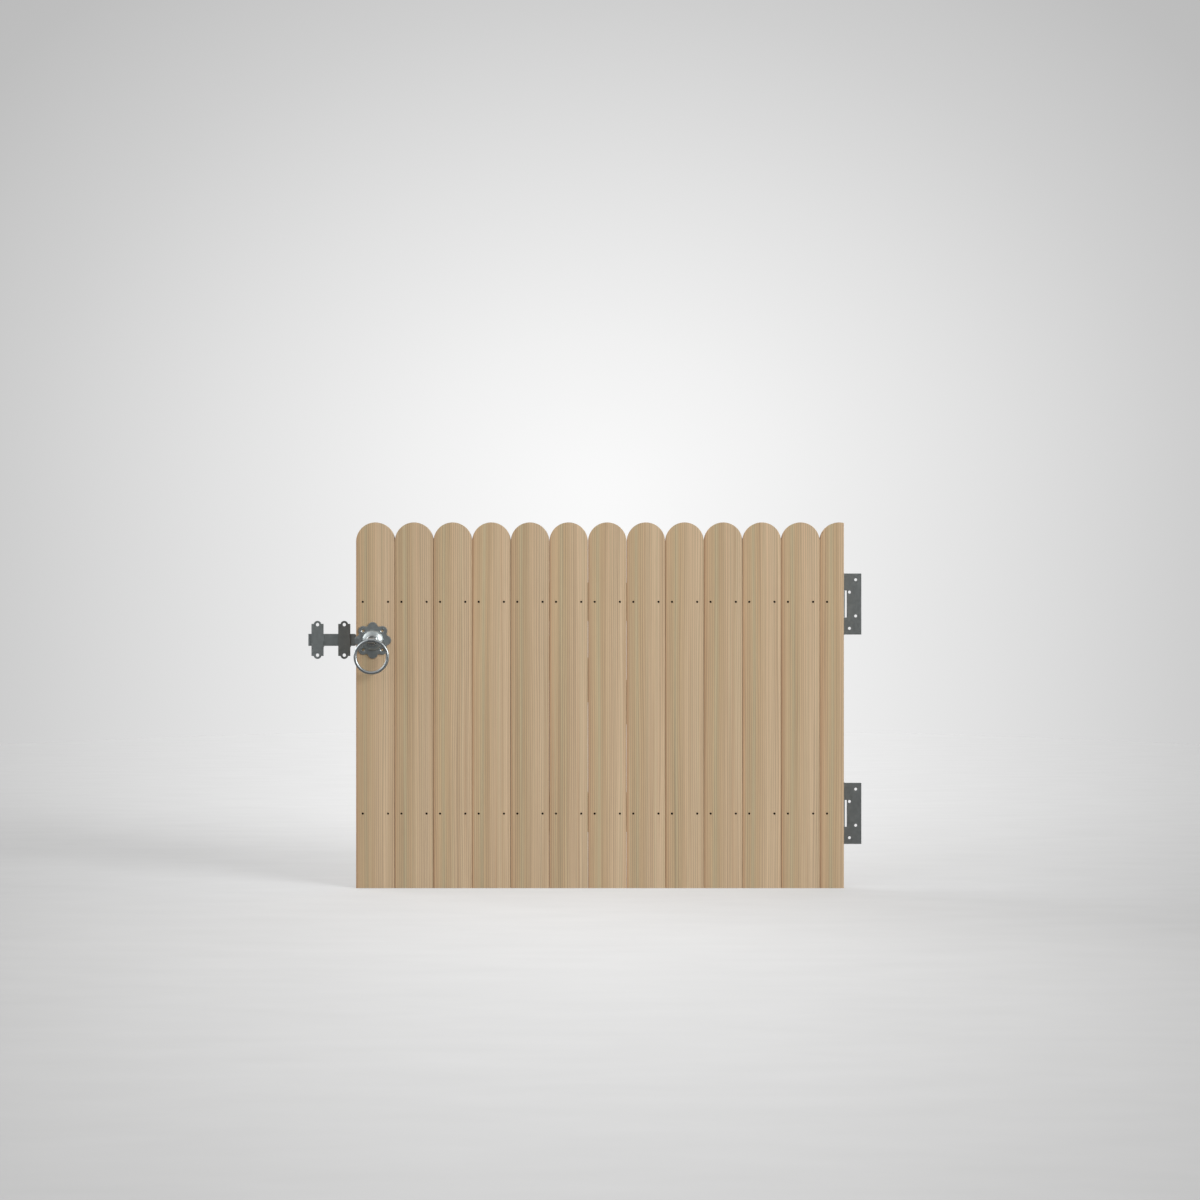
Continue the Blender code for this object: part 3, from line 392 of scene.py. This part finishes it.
def finish_wood(graph, shader, colour, lines, streaks, pores, end):
    """The parts that all the timber shares: line and pore tone, end grain, gloss and relief."""
    tone = graph.remap(lines, 0.0, 1.0, *LINE_TONE)
    tone = graph.times(tone, graph.spread(streaks, *STREAK_TONE))
    tone = graph.times(tone, graph.spread(pores, *PORE_TONE))
    toned = graph.brightened(colour, tone)
    cut = graph.brightened(toned, END_TONE)
    graph.plug(graph.mix(end, toned, cut), shader.inputs["Base Color"])
    graph.plug(graph.spread(streaks, *WOOD_ROUGH), shader.inputs["Roughness"])
    shader.inputs["Specular IOR Level"].default_value = WOOD_SPECULAR
    height = graph.maths("MULTIPLY_ADD", lines, 0.5, graph.times(pores, 0.5))
    graph.plug(graph.bump(height, *WOOD_RELIEF), shader.inputs["Normal"])


def board_material(left, pitch):
    """Upright boards: each takes its own lines, with a reddish left edge, a greenish band, a paler right."""
    made, graph, shader = new_material("pine_boards")
    coordinates = graph.add("ShaderNodeTexCoord")
    x, y, z = graph.parts(coordinates.outputs["Object"])
    place = graph.maths("DIVIDE", graph.maths("SUBTRACT", x, left), pitch)
    number = graph.maths("FLOOR", place)
    across = graph.maths("FRACT", place)
    chance = graph.add("ShaderNodeTexWhiteNoise", {"W": number}, noise_dimensions="1D").outputs["Value"]
    seed = graph.maths("MULTIPLY_ADD", chance, SEED_CHANCE, number)
    lines, streaks, pores = grain(graph, x, y, z, seed)

    drift = graph.noise(graph.vector(seed, BAND_SLICE, graph.times(z, BAND_WAVES)), 1.0, 1.0)
    shifted = graph.maths("ADD", across, graph.spread(drift, -BAND_DRIFT, BAND_DRIFT))
    from_middle = graph.maths("ABSOLUTE", graph.maths("SUBTRACT", across, 0.5))
    freedom = graph.remap(from_middle, *BAND_HOLD, 1.0, 0.0)
    moved = graph.times(freedom, graph.maths("SUBTRACT", shifted, across))
    colour = graph.ramp(graph.maths("ADD", across, moved), BOARD_TONES, "EASE")
    colour = graph.brightened(colour, graph.remap(chance, 0.0, 1.0, *BOARD_CHANCE_TONE))

    foot, top = [corner.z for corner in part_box("board_01")]
    right = left + pitch * len(board_names())
    # Painted shade: the boards grow darker towards their foot.
    colour = graph.brightened(colour, graph.remap(z, foot, top, *BOARD_PAINTED_HEIGHT_SHADE))
    # Painted light: the boards grow brighter towards the hinge side, where the key lamp stands.
    colour = graph.brightened(colour, graph.remap(x, left, right, *BOARD_PAINTED_SIDE_LIGHT))

    side, rise = REDDISH_WAVES
    red = graph.noise(graph.vector(graph.times(x, side), seed, graph.times(z, rise)), 1.0, 2.0)
    colour = graph.mix(graph.remap(red, *REDDISH_SPAN, 0.0, REDDISH_SHARE), colour, REDDISH)
    green = graph.noise(graph.vector(graph.times(x, GREENISH_WAVES), seed, z), 1.0, 2.0)
    colour = graph.mix(graph.remap(green, *GREENISH_SPAN, 0.0, GREENISH_SHARE), colour, GREENISH)
    normal = graph.parts(coordinates.outputs["Normal"])
    finish_wood(graph, shader, colour, lines, streaks, pores, end_grain(graph, normal[2]))
    return made


def timber_material(name, turn, seed, width):
    """Timber whose grain runs along X, turned by this angle about Y."""
    made, graph, shader = new_material(name)
    coordinates = graph.add("ShaderNodeTexCoord")
    turned_parts = []
    for output in ("Object", "Normal"):
        node = graph.add("ShaderNodeVectorRotate", {"Vector": coordinates.outputs[output], "Angle": turn})
        node.rotation_type = "Y_AXIS"
        turned_parts.append(graph.parts(node.outputs["Vector"]))
    (along, depth, across), normal = turned_parts
    lines, streaks, pores = grain(graph, across, depth, along, seed)
    stretched = graph.vector(graph.times(across, 1 / width), seed, graph.times(along, TIMBER_STRETCH))
    drift = graph.noise(stretched, TIMBER_WAVES, 1.0)
    colour = graph.ramp(graph.remap(drift, *TIMBER_SPAN, 0.0, 1.0), TIMBER_TONES)
    finish_wood(graph, shader, colour, lines, streaks, pores, end_grain(graph, normal[0]))
    return made


def metal_material(name, colour, rough, brushed, blotch):
    """Plated or polished steel: cloudy tone, uneven gloss, fine rubbing marks and small pits."""
    made, graph, shader = new_material(name)
    place = graph.add("ShaderNodeTexCoord").outputs["Object"]
    cloud = graph.noise(place, CLOUD_WAVES, 4.0, 0.6)
    patch = graph.noise(place, BLOTCH_WAVES, 3.0, 0.55)
    x, y, z = graph.parts(place)
    across, along = MARK_WAVES
    strokes = graph.vector(graph.times(x, across), graph.times(y, across), graph.times(z, along))
    marks = graph.noise(strokes, 1.0, 2.0, 0.6)
    tone = graph.times(
        graph.spread(cloud, 1.0 - blotch, 1.0 + blotch),
        graph.spread(patch, 1.0 - blotch / 2, 1.0 + blotch / 2),
    )
    graph.plug(graph.brightened((*colour, 1.0), tone), shader.inputs["Base Color"])
    glossy, dull = METAL_GLOSS_SPAN
    graph.plug(graph.spread(patch, rough * glossy, rough * dull), shader.inputs["Roughness"])
    shader.inputs["Metallic"].default_value = 1.0
    height = graph.maths("MULTIPLY_ADD", marks, 0.6, graph.times(patch, 0.4))
    graph.plug(graph.bump(height, brushed, METAL_RELIEF), shader.inputs["Normal"])
    return made


# Meshes ------------------------------------------------------------------------------------------
def add_mesh(name, mesh):
    obj = bpy.data.objects.new(name, mesh)
    bpy.context.scene.collection.objects.link(obj)
    return obj


def new_piece(name, edit):
    """The edited mesh as an object, which ends the editing."""
    mesh = bpy.data.meshes.new(name)
    edit.to_mesh(mesh)
    edit.free()
    return add_mesh(name, mesh)


def smooth_by_angle(mesh):
    """Smooth shading, broken at the crisp edges."""
    limit = math.radians(CRISP_ANGLE)
    edit = bmesh.new()
    edit.from_mesh(mesh)
    for face in edit.faces:
        face.smooth = True
    for edge in edit.edges:
        edge.smooth = len(edge.link_faces) == 2 and edge.calc_face_angle(0.0) < limit
    edit.to_mesh(mesh)
    edit.free()


def arc(centre, radius, start, end, steps):
    """Points from start to end degrees round the centre, both ends included."""
    angles = [math.radians(start + (end - start) * i / steps) for i in range(steps + 1)]
    return [(centre[0] + radius * math.cos(a), centre[1] + radius * math.sin(a)) for a in angles]


def circle(centre, radius, sides=HOLE_SIDES):
    return arc(centre, radius, 0, 360, sides)[:-1]


def extruded(name, outlines, depth, edge, matrix):
    """Outlines, the second and later ones being holes, drawn out by depth with rounded edges."""
    data = bpy.data.curves.new(name, "CURVE")
    data.dimensions = "2D"
    data.fill_mode = "BOTH"
    data.extrude = depth / 2 - edge
    data.bevel_depth = edge
    data.bevel_resolution = 1
    data.offset = -edge
    for outline in outlines:
        spline = data.splines.new("POLY")
        spline.points.add(len(outline) - 1)
        for point, (a, b) in zip(spline.points, outline):
            point.co = (a, b, 0, 1)
        spline.use_cyclic_u = True
    curve = add_mesh(name, data)
    bpy.context.view_layer.update()
    mesh = bpy.data.meshes.new_from_object(curve.evaluated_get(bpy.context.evaluated_depsgraph_get()))
    bpy.data.objects.remove(curve)
    edit = bmesh.new()
    edit.from_mesh(mesh)
    edit.transform(matrix)
    bmesh.ops.remove_doubles(edit, verts=edit.verts, dist=MERGE)
    bmesh.ops.recalc_face_normals(edit, faces=edit.faces)
    edit.to_mesh(mesh)
    edit.free()
    mesh.name = name
    return add_mesh(name, mesh)


def upright(front, thickness):
    """Takes X and Z outlines to a piece from front backwards."""
    return Matrix.Translation((0, front + thickness / 2, 0)) @ Matrix.Rotation(math.pi / 2, 4, "X")


def across_x(left, width):
    """Takes Y and Z outlines to a piece from left to the right."""
    turn = Matrix.Rotation(math.pi / 2, 4, "Z") @ Matrix.Rotation(math.pi / 2, 4, "X")
    return Matrix.Translation((left + width / 2, 0, 0)) @ turn


def turned(name, profile, place, axis, sides=ROUND_SIDES, closed=False):
    """A profile of (radius, distance along the axis) turned about the axis through place."""
    edit = bmesh.new()
    rings = []
    for radius, along in profile:
        if radius < MERGE:
            rings.append([edit.verts.new((0, 0, along))])
            continue
        angles = [2 * math.pi * i / sides for i in range(sides)]
        rings.append([edit.verts.new((radius * math.cos(a), radius * math.sin(a), along)) for a in angles])
    pairs = list(zip(rings, rings[1:] + rings[:1]))
    for low, high in pairs if closed else pairs[:-1]:
        for i in range(sides):
            j = (i + 1) % sides
            corners = [low[i % len(low)], low[j % len(low)], high[j % len(high)], high[i % len(high)]]
            edit.faces.new(list(dict.fromkeys(corners)))
    bmesh.ops.recalc_face_normals(edit, faces=edit.faces)
    turn = Vector((0, 0, 1)).rotation_difference(Vector(axis)).to_matrix().to_4x4()
    edit.transform(Matrix.Translation(place) @ turn)
    return new_piece(name, edit)


def combined(obj, tools, operation):
    """obj cut by the tools or joined with them, which are used up."""
    for tool in tools:
        modifier = obj.modifiers.new(tool.name, "BOOLEAN")
        modifier.operation = operation
        modifier.solver = "EXACT"
        modifier.object = tool
    bpy.context.view_layer.update()
    mesh = bpy.data.meshes.new_from_object(obj.evaluated_get(bpy.context.evaluated_depsgraph_get()))
    obj.modifiers.clear()
    obj.data = mesh
    for tool in tools:
        bpy.data.objects.remove(tool)
    return obj


def rounded_copy(node, edge):
    """A CAD node's shape with its flat faces whole again and its sharp edges rounded."""
    edit = bmesh.new()
    edit.from_mesh(frame["nodes"][node].data)
    bmesh.ops.remove_doubles(edit, verts=edit.verts, dist=MERGE)
    flat = math.radians(FLAT_ANGLE)
    bmesh.ops.dissolve_limit(edit, angle_limit=flat, verts=edit.verts, edges=edit.edges)
    sharp = math.radians(ROUNDED_ANGLE)
    edges = [e for e in edit.edges if len(e.link_faces) == 2 and e.calc_face_angle(0.0) > sharp]
    bmesh.ops.bevel(
        edit, geom=edges, offset=edge, segments=2, profile=0.5, affect="EDGES", clamp_overlap=True
    )
    bmesh.ops.recalc_face_normals(edit, faces=edit.faces)
    return new_piece(f"{node}_finished", edit)


def place_piece(obj, material, slot, *nodes, body=None):
    """Gives a piece its material and seats it on its body in place of its CAD nodes. The slot is not used.
    """
    obj.data.materials.clear()
    obj.data.materials.append(material)
    smooth_by_angle(obj.data)
    even = obj.modifiers.new("even shading", "WEIGHTED_NORMAL")
    even.keep_sharp = True
    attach(obj, body or frame["nodes"][nodes[0]]["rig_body"])
    if nodes:
        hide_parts(*nodes)
    return obj


# The wooden leaf ---------------------------------------------------------------------------------
def board_names():
    return sorted(name for name in frame["nodes"] if name.startswith("board_"))


def nail_places(name):
    """The x of each nail in a board."""
    low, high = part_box(name)
    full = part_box("board_01")
    middle = (low.x + high.x) / 2
    if high.x - low.x < full[1].x - full[0].x - NARROWER:
        return [low.x + LONE_NAIL_INSET]
    return [middle - NAIL_FROM_MIDDLE, middle + NAIL_FROM_MIDDLE]


def nail_heights():
    """The z of each row of nails: the middle of the ledge behind it."""
    heights = {}
    for row in ("upper", "lower"):
        low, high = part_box(f"{row}_ledge")
        heights[row] = (low.z + high.z) / 2
    return heights


def make_boards(material):
    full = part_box("board_01")
    radius = (full[1].x - full[0].x) / 2
    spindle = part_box("spindle")
    middle = (spindle[0] + spindle[1]) / 2
    bore = (spindle[1].x - spindle[0].x) / math.sqrt(2) + SPINDLE_HOLE_CLEARANCE
    for name in board_names():
        low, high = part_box(name)
        centre = (low.x + radius, high.z - radius)
        reach = min(1.0, (high.x - centre[0]) / radius)
        start = math.degrees(math.acos(reach))
        outline = [(low.x, low.z), (high.x, low.z)] + arc(centre, radius, start, 180, TOP_STEPS)
        holes = [
            circle((x, z), NAIL_HEAD_RADIUS + NAIL_HOLE_CLEARANCE, NAIL_SIDES)
            for x in nail_places(name)
            for z in nail_heights().values()
        ]
        if low.x < middle.x < high.x:
            holes.append(circle((middle.x, middle.z), bore))
        thickness = high.y - low.y
        board = extruded(
            f"{name}_finished", [outline, *holes], thickness, BOARD_EDGE, upright(low.y, thickness)
        )
        place_piece(board, material, "pine", name)


def make_nails(material):
    """A row of nails as one piece: lost heads just under the boards' faces."""
    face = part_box("board_01")[0].y + NAIL_SINK
    head, shank, rise = NAIL_HEAD_RADIUS, NAIL_SHANK_RADIUS, NAIL_HEAD_HEIGHT
    profile = [
        (0, NAIL_DISH),
        (head * 0.45, NAIL_DISH / 2),
        (head * 0.85, 0),
        (head, NAIL_DISH),
        (head, rise * 0.6),
        (shank, rise * 1.4),
        (shank, NAIL_LENGTH - NAIL_POINT),
        (0, NAIL_LENGTH),
    ]
    for row, z in nail_heights().items():
        edit = bmesh.new()
        for name in board_names():
            for x in nail_places(name):
                nail = turned("nail", profile, (x, face, z), (0, 1, 0), NAIL_SIDES)
                edit.from_mesh(nail.data)
                bpy.data.objects.remove(nail)
        place_piece(new_piece(f"{row}_nails", edit), material, "zinc_plated_steel", body="gate_leaf")


def make_timber():
    left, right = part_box("diagonal_brace")
    lean = math.atan2(right.z - left.z, right.x - left.x)
    timbers = [
        ("upper_ledge", "upper_ledge", 0.0, TIMBER_WIDTH),
        ("lower_ledge", "lower_ledge", 0.0, TIMBER_WIDTH),
        ("lock_block", "block", 0.0, BLOCK_WIDTH),
        ("diagonal_brace", "brace", -lean, TIMBER_WIDTH),
    ]
    for node, name, turn, width in timbers:
        material = timber_material(f"pine_{name}", turn, TIMBER_SEEDS[name], width)
        place_piece(rounded_copy(node, TIMBER_EDGE), material, "pine", node)


# Fittings ----------------------------------------------------------------------------------------
def petal_outline(x, z):
    """The rose's outline and the middles of its petals."""
    touch = (PETAL_CIRCLE**2 + PETAL_RADIUS**2 - ROSE_RADIUS**2) / (2 * PETAL_CIRCLE * PETAL_RADIUS)
    half = 180 - math.degrees(math.acos(touch))
    outline = []
    centres = []
    for i in range(PETAL_COUNT):
        angle = 360 * i / PETAL_COUNT
        a = math.radians(angle)
        centres.append((x + PETAL_CIRCLE * math.cos(a), z + PETAL_CIRCLE * math.sin(a)))
        outline += arc(centres[-1], PETAL_RADIUS, angle - half, angle + half, PETAL_STEPS)
    return outline, centres


def make_rose(material):
    """The flower rose: petals, a countersunk hole in every second one, and the pressed-up dome."""
    low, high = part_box("flower_rose")
    x, z = (low.x + high.x) / 2, (low.z + high.z) / 2
    front = high.y - ROSE_SHEET
    outline, centres = petal_outline(x, z)
    inner = DOME_RADIUS - DOME_SHEET
    rose = extruded(
        "flower_rose_finished",
        [outline, circle((x, z), inner, ROUND_SIDES)],
        ROSE_SHEET,
        ROSE_EDGE,
        upright(front, ROSE_SHEET),
    )
    sink, hole = ROSE_SINK_RADIUS, ROSE_HOLE_RADIUS
    sunk = [
        (0, -CUT),
        (sink + CUT, -CUT),
        (hole, sink - hole),
        (hole, ROSE_SHEET + CUT),
        (0, ROSE_SHEET + CUT),
    ]
    cutters = [turned("sink", sunk, (cx, front, cz), (0, 1, 0), SINK_SIDES) for cx, cz in centres[1::2]]
    combined(rose, cutters, "DIFFERENCE")

    top = math.degrees(math.acos(DOME_MOUTH / DOME_RADIUS))
    crown = [(DOME_RADIUS * a, DOME_HEIGHT * b) for a, b in arc((0, 0), 1, top, 0, CROWN_STEPS)]
    top = math.degrees(math.acos(DOME_MOUTH / inner))
    hollow = [(inner * a, (DOME_HEIGHT - DOME_SHEET) * b) for a, b in arc((0, 0), 1, 0, top, HOLLOW_STEPS)]
    back = -ROSE_SHEET / 2
    profile = crown + [(DOME_RADIUS, back), (inner - DOME_LAP, back)]
    profile += [(radius - DOME_LAP, forward) for radius, forward in hollow]
    dome = turned("dome", profile, (x, front, z), (0, -1, 0), closed=True)
    combined(rose, [dome], "UNION")
    place_piece(rose, material, "zinc_plated_steel", "flower_rose")


def hub_body(x, z, back, collar_back, collar_face):
    """The neck and the collar, which has a rounded front edge."""
    r = COLLAR_ROUNDING
    shoulder, face = back - collar_back, back - collar_face
    profile = [(0, 0), (NECK_RADIUS, 0), (NECK_RADIUS, shoulder)]
    profile += [(COLLAR_RADIUS - r / 2, shoulder), (COLLAR_RADIUS, shoulder + r / 2)]
    profile += arc((COLLAR_RADIUS - r, face - r), r, 0, 90, COLLAR_STEPS)
    profile += [(0, face)]
    return turned("ring_hub_finished", profile, (x, back, z), (0, -1, 0))


def make_hub(material):
    """The turning hub: neck, collar, the eye for the ring and the spindle's square socket."""
    low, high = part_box("ring_hub")
    ring_low, ring_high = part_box("ring_handle")
    spindle_low, spindle_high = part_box("spindle")
    x, z = (low.x + high.x) / 2, (low.z + high.z) / 2
    collar_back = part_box("flower_rose")[0].y - COLLAR_GAP
    collar_face = collar_back - COLLAR_THICKNESS
    hub = hub_body(x, z, high.y, collar_back, collar_face)

    eye_y = (ring_low.y + ring_high.y) / 2
    half = EYE_BORE_RADIUS + EYE_WALL
    root = collar_face + COLLAR_THICKNESS / 2
    section = arc((eye_y, z), half, 270, 90, NOSE_STEPS) + [(root, z + half), (root, z - half)]
    left = x - EYE_WIDTH / 2
    eye = extruded("eye", [section], EYE_WIDTH, EYE_EDGE, across_x(left, EYE_WIDTH))
    combined(hub, [eye], "UNION")

    mouth = EYE_BORE_RADIUS + EYE_EDGE + CUT
    bore = [
        (0, -CUT),
        (mouth, -CUT),
        (EYE_BORE_RADIUS, EYE_EDGE),
        (EYE_BORE_RADIUS, EYE_WIDTH - EYE_EDGE),
        (mouth, EYE_WIDTH + CUT),
        (0, EYE_WIDTH + CUT),
    ]
    combined(hub, [turned("bore", bore, (left, eye_y, z), (1, 0, 0), BORE_SIDES)], "DIFFERENCE")

    side = spindle_high.x - spindle_low.x + 2 * SOCKET_CLEARANCE
    length = SOCKET_DEPTH + CUT
    edit = bmesh.new()
    bmesh.ops.create_cube(edit, size=1, matrix=Matrix.Diagonal((side, length, side, 1)))
    edit.transform(Matrix.Translation((x, high.y + CUT - length / 2, z)))
    combined(hub, [new_piece("socket", edit)], "DIFFERENCE")
    place_piece(hub, material, "polished_steel", "ring_hub")


def make_ring(material):
    low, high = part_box("ring_handle")
    middle = (low + high) / 2
    mean = (high.z - low.z) / 2 - RING_WIRE_RADIUS
    edit = bmesh.new()
    loop = []
    for i in range(RING_STEPS):
        a = 2 * math.pi * i / RING_STEPS
        section = []
        for u, v in circle((0, 0), RING_WIRE_RADIUS, WIRE_SIDES):
            reach = mean + u
            point = (middle.x + reach * math.sin(a), middle.y + v, middle.z + reach * math.cos(a))
            section.append(edit.verts.new(point))
        loop.append(section)
    for i, section in enumerate(loop):
        ahead = loop[(i + 1) % RING_STEPS]
        for j in range(WIRE_SIDES):
            k = (j + 1) % WIRE_SIDES
            edit.faces.new((section[j], section[k], ahead[k], ahead[j]))
    bmesh.ops.recalc_face_normals(edit, faces=edit.faces)
    place_piece(new_piece("ring_handle_finished", edit), material, "polished_steel", "ring_handle")


def recess_arm(middle, head, rise, angle):
    """One arm of a cross recess, narrower at its bottom."""
    edit = bmesh.new()
    size = Matrix.Diagonal((head * RECESS_LENGTH, rise * RECESS_DEPTH, head * RECESS_WIDTH, 1))
    bmesh.ops.create_cube(edit, size=1, matrix=size)
    for vert in edit.verts:
        if vert.co.y < 0:
            vert.co.x *= RECESS_TAPER[0]
            vert.co.z *= RECESS_TAPER[1]
    edit.transform(Matrix.Translation(middle) @ Matrix.Rotation(angle, 4, "Y"))
    return new_piece("arm", edit)


def make_screws(material):
    """Round-headed screws with a cross recess, each turned its own way."""
    names = sorted(name for name in frame["nodes"] if "_screw_" in name)
    for number, name in enumerate(names):
        low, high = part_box(name)
        centre = (low + high) / 2
        head = (high.x - low.x) / 2
        rise, shank = SMALL_SCREW if head < SMALL_HEAD else LARGE_SCREW
        length = high.y - low.y - rise
        crown = [(head * a, rise * b) for a, b in arc((0, 0), 1, 90, 0, SCREW_CROWN_STEPS)]
        profile = crown + [(shank, 0), (shank, -length * SCREW_POINT), (0, -length)]
        foot = high.y - rise
        screw = turned(f"{name}_finished", profile, (centre.x, foot, centre.z), (0, 1, 0), SCREW_SIDES)
        middle = (centre.x, high.y - rise * RECESS_SINK, centre.z)
        first = number * RECESS_TURN
        arms = [recess_arm(middle, head, rise, first + quarter * math.pi / 2) for quarter in (0, 1)]
        combined(screw, arms, "DIFFERENCE")
        place_piece(screw, material, "zinc_plated_steel", name)


def make_sheets(metals):
    """Everything that is cut and folded from plate or bar, and the pins."""
    hinge_parts = ["post_leaf", "strap", "hinge_pin"]
    hinge = [f"{place}_{part}" for place in ("upper", "lower") for part in hinge_parts]
    latch = ["far_keep", "latch_bar", "back_plate", "bar_guide", "spindle_washer", "spindle", "cotter_pin"]
    # The hinges take a darker copy of the zinc, which is painted shade.
    # The near keep takes a darker, warmer copy of the zinc, which is painted shade.
    for metal, names in (("hinge_zinc_painted_shade", hinge), ("zinc", latch), ("dull_zinc_painted_shade", ["near_keep"])):
        for name in names:
            place_piece(rounded_copy(name, SHEET_EDGE), metals[metal], "zinc_plated_steel", name)


# Floor, wall, light and camera -------------------------------------------------------------------
def even_stops(levels):
    return [(i / (len(levels) - 1), (level,) * 3) for i, level in enumerate(levels)]


def paper_material(name, tone):
    """Matt paper of this tone, and the socket for what it glows with."""
    made, graph, shader = new_material(name)
    shader.inputs["Base Color"].default_value = (tone, tone, tone, 1.0)
    shader.inputs["Roughness"].default_value = PAPER_ROUGH
    shader.inputs["Specular IOR Level"].default_value = 0.0
    shader.inputs["Emission Strength"].default_value = 1.0
    return made, graph, shader.inputs["Emission Color"]


def paper_glow(graph, x, y, z):
    """The glow behind the middle of the gate, which widens towards the back."""
    back, near, far = [graph.times(y, slope) for slope in GLOW_WIDENING]
    widening = graph.maths("MAXIMUM", graph.maths("MAXIMUM", back, near), -GLOW_WIDTH)
    reach = graph.maths("MAXIMUM", graph.maths("ADD", widening, GLOW_WIDTH), far)
    sideways = graph.times(graph.maths("SUBTRACT", x, MIDDLE), GLOW_NARROWING)
    upward = graph.maths("MAXIMUM", graph.maths("SUBTRACT", z, GLOW_HEIGHT), 0.0)
    away = graph.length(graph.vector(sideways, GLOW_SOFTNESS, upward))
    fall = graph.remap(graph.maths("DIVIDE", away, reach), 0.0, GLOW_REACH, 0.0, 1.0)
    return graph.ramp(fall, even_stops(GLOW))


def wall_material():
    made, graph, own_light = paper_material("wall_paper", 0.0)
    place = graph.parts(graph.add("ShaderNodeTexCoord").outputs["Object"])
    graph.plug(paper_glow(graph, *place), own_light)
    return made


def floor_material():
    """Paper that glows with what the lamps and the sky leave missing from the floor's brightness."""
    made, graph, own_light = paper_material("floor_paper", FLOOR_TONE)
    x, y, z = graph.parts(graph.add("ShaderNodeTexCoord").outputs["Object"])
    depth = graph.remap(y, *FLOOR_SPAN, 0.0, 1.0)
    share = graph.add("ShaderNodeRGBToBW", {"Color": graph.ramp(depth, even_stops(FLOOR_SHARE))})
    out = graph.length(graph.vector(graph.maths("SUBTRACT", x, MIDDLE), y, 0.0))
    rim = graph.remap(out, *FLOOR_RIM, FLOOR_SHARE[0], 1.0)
    level = graph.maths("MAXIMUM", share.outputs["Val"], rim)
    side, back = FIBRE_WAVES
    fibres = graph.noise(graph.vector(graph.times(x, side), graph.times(y, back), 0.0), 1.0, 4.0)
    tone = graph.times(level, graph.spread(fibres, *FIBRE_TONE))
    whole = graph.brightened(paper_glow(graph, x, y, z), tone)
    own = graph.add("ShaderNodeVectorMath", {0: whole, 1: (FLOOR_LIT,) * 3}, operation="SUBTRACT")
    graph.plug(own.outputs["Vector"], own_light)
    return made


def swept_round(name, profile, centre):
    """A profile of (radius, height) swept all round the centre."""
    edit = bmesh.new()
    rows = []
    for i in range(STAGE_STEPS + 1):
        a = 2 * math.pi * i / STAGE_STEPS
        points = [(centre.x + r * math.cos(a), centre.y + r * math.sin(a), height) for r, height in profile]
        rows.append([edit.verts.new(point) for point in points])
    for near, far in zip(rows, rows[1:]):
        for i in range(len(profile) - 1):
            edit.faces.new((near[i], near[i + 1], far[i + 1], far[i]))
    for face in edit.faces:
        face.smooth = True
    return new_piece(name, edit)


def make_stage():
    """A round floor and the wall it bends up into. No metal mirrors them, and the wall lights nothing."""
    z = CAD_BOX[0].z
    centre = Vector((MIDDLE, 0.0, 0.0))
    bend = arc((FLOOR_RADIUS, z + COVE_RADIUS), COVE_RADIUS, -90, 0, COVE_STEPS)
    floor = swept_round("floor", [(0.0, z), (FLOOR_RADIUS / 2, z), (FLOOR_RADIUS, z)], centre)
    wall = swept_round("wall", bend + [(FLOOR_RADIUS + COVE_RADIUS, z + WALL_HEIGHT)], centre)
    floor.data.materials.append(floor_material())
    wall.data.materials.append(wall_material())
    wall.visible_diffuse = False
    wall.visible_shadow = False
    for obj in (floor, wall):
        obj.visible_glossy = False


def make_sun(name, azimuth, rise, energy, spread):
    """A soft light. Azimuth 0 comes from before the gate, 90 from the hinge side, in degrees."""
    lamp = bpy.data.lights.new(name, "SUN")
    lamp.energy = energy
    lamp.angle = math.radians(spread)
    obj = bpy.data.objects.new(name, lamp)
    a, e = math.radians(azimuth), math.radians(rise)
    away = Vector((math.sin(a) * math.cos(e), -math.cos(a) * math.cos(e), math.sin(e)))
    obj.rotation_euler = away.to_track_quat("Z", "Y").to_euler()
    bpy.context.scene.collection.objects.link(obj)


def make_lights():
    """The lamps, and a sky that is dark low down before the gate and brighter beside and behind it."""
    world = bpy.data.worlds.new("studio")
    world.use_nodes = True
    bpy.context.scene.world = world
    graph = Graph(world.node_tree)
    background = world.node_tree.nodes["Background"]
    direction = graph.parts(graph.add("ShaderNodeTexCoord").outputs["Generated"])
    stops = [(place, (level,) * 3) for place, level in SKY]
    front = graph.ramp(graph.remap(direction[2], -1.0, 1.0, 0.0, 1.0), stops)
    sideward = graph.remap(graph.times(direction[1], -1.0), *SIDE_FROM, 0.0, 1.0)
    side = graph.times(sideward, graph.remap(direction[2], *SIDE_RISE, SIDE_FLOOR, SIDE_GLOW))
    graph.plug(graph.mix(1.0, front, side, "LIGHTEN"), background.inputs["Color"])
    background.inputs["Strength"].default_value = 1.0
    for lamp in LAMPS:
        make_sun(*lamp)


def make_camera():
    """Squarely before the middle of the boards."""
    data = bpy.data.cameras.new("camera")
    data.lens = LENS
    data.sensor_width = SENSOR
    camera = bpy.data.objects.new("camera", data)
    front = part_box("board_01")[0]
    camera.location = (MIDDLE, front.y - CAMERA_DISTANCE, front.z + CAMERA_RISE)
    camera.rotation_euler = (math.pi / 2, 0, 0)
    bpy.context.scene.collection.objects.link(camera)
    bpy.context.scene.camera = camera
    bpy.context.scene.view_settings.view_transform = "Standard"


def main():
    first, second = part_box("board_01"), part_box("board_02")
    pitch = second[0].x - first[0].x
    gap = second[0].x - first[1].x
    metals = {name: metal_material(name, *look) for name, look in METALS.items()}
    make_boards(board_material(first[0].x - gap / 2, pitch))
    make_nails(metals["nail_steel"])
    make_timber()
    make_rose(metals["rose_zinc"])
    make_hub(metals["hub_steel"])
    make_ring(metals["ring_steel"])
    make_screws(metals["zinc"])
    make_sheets(metals)
    make_stage()
    make_lights()
    make_camera()


main()
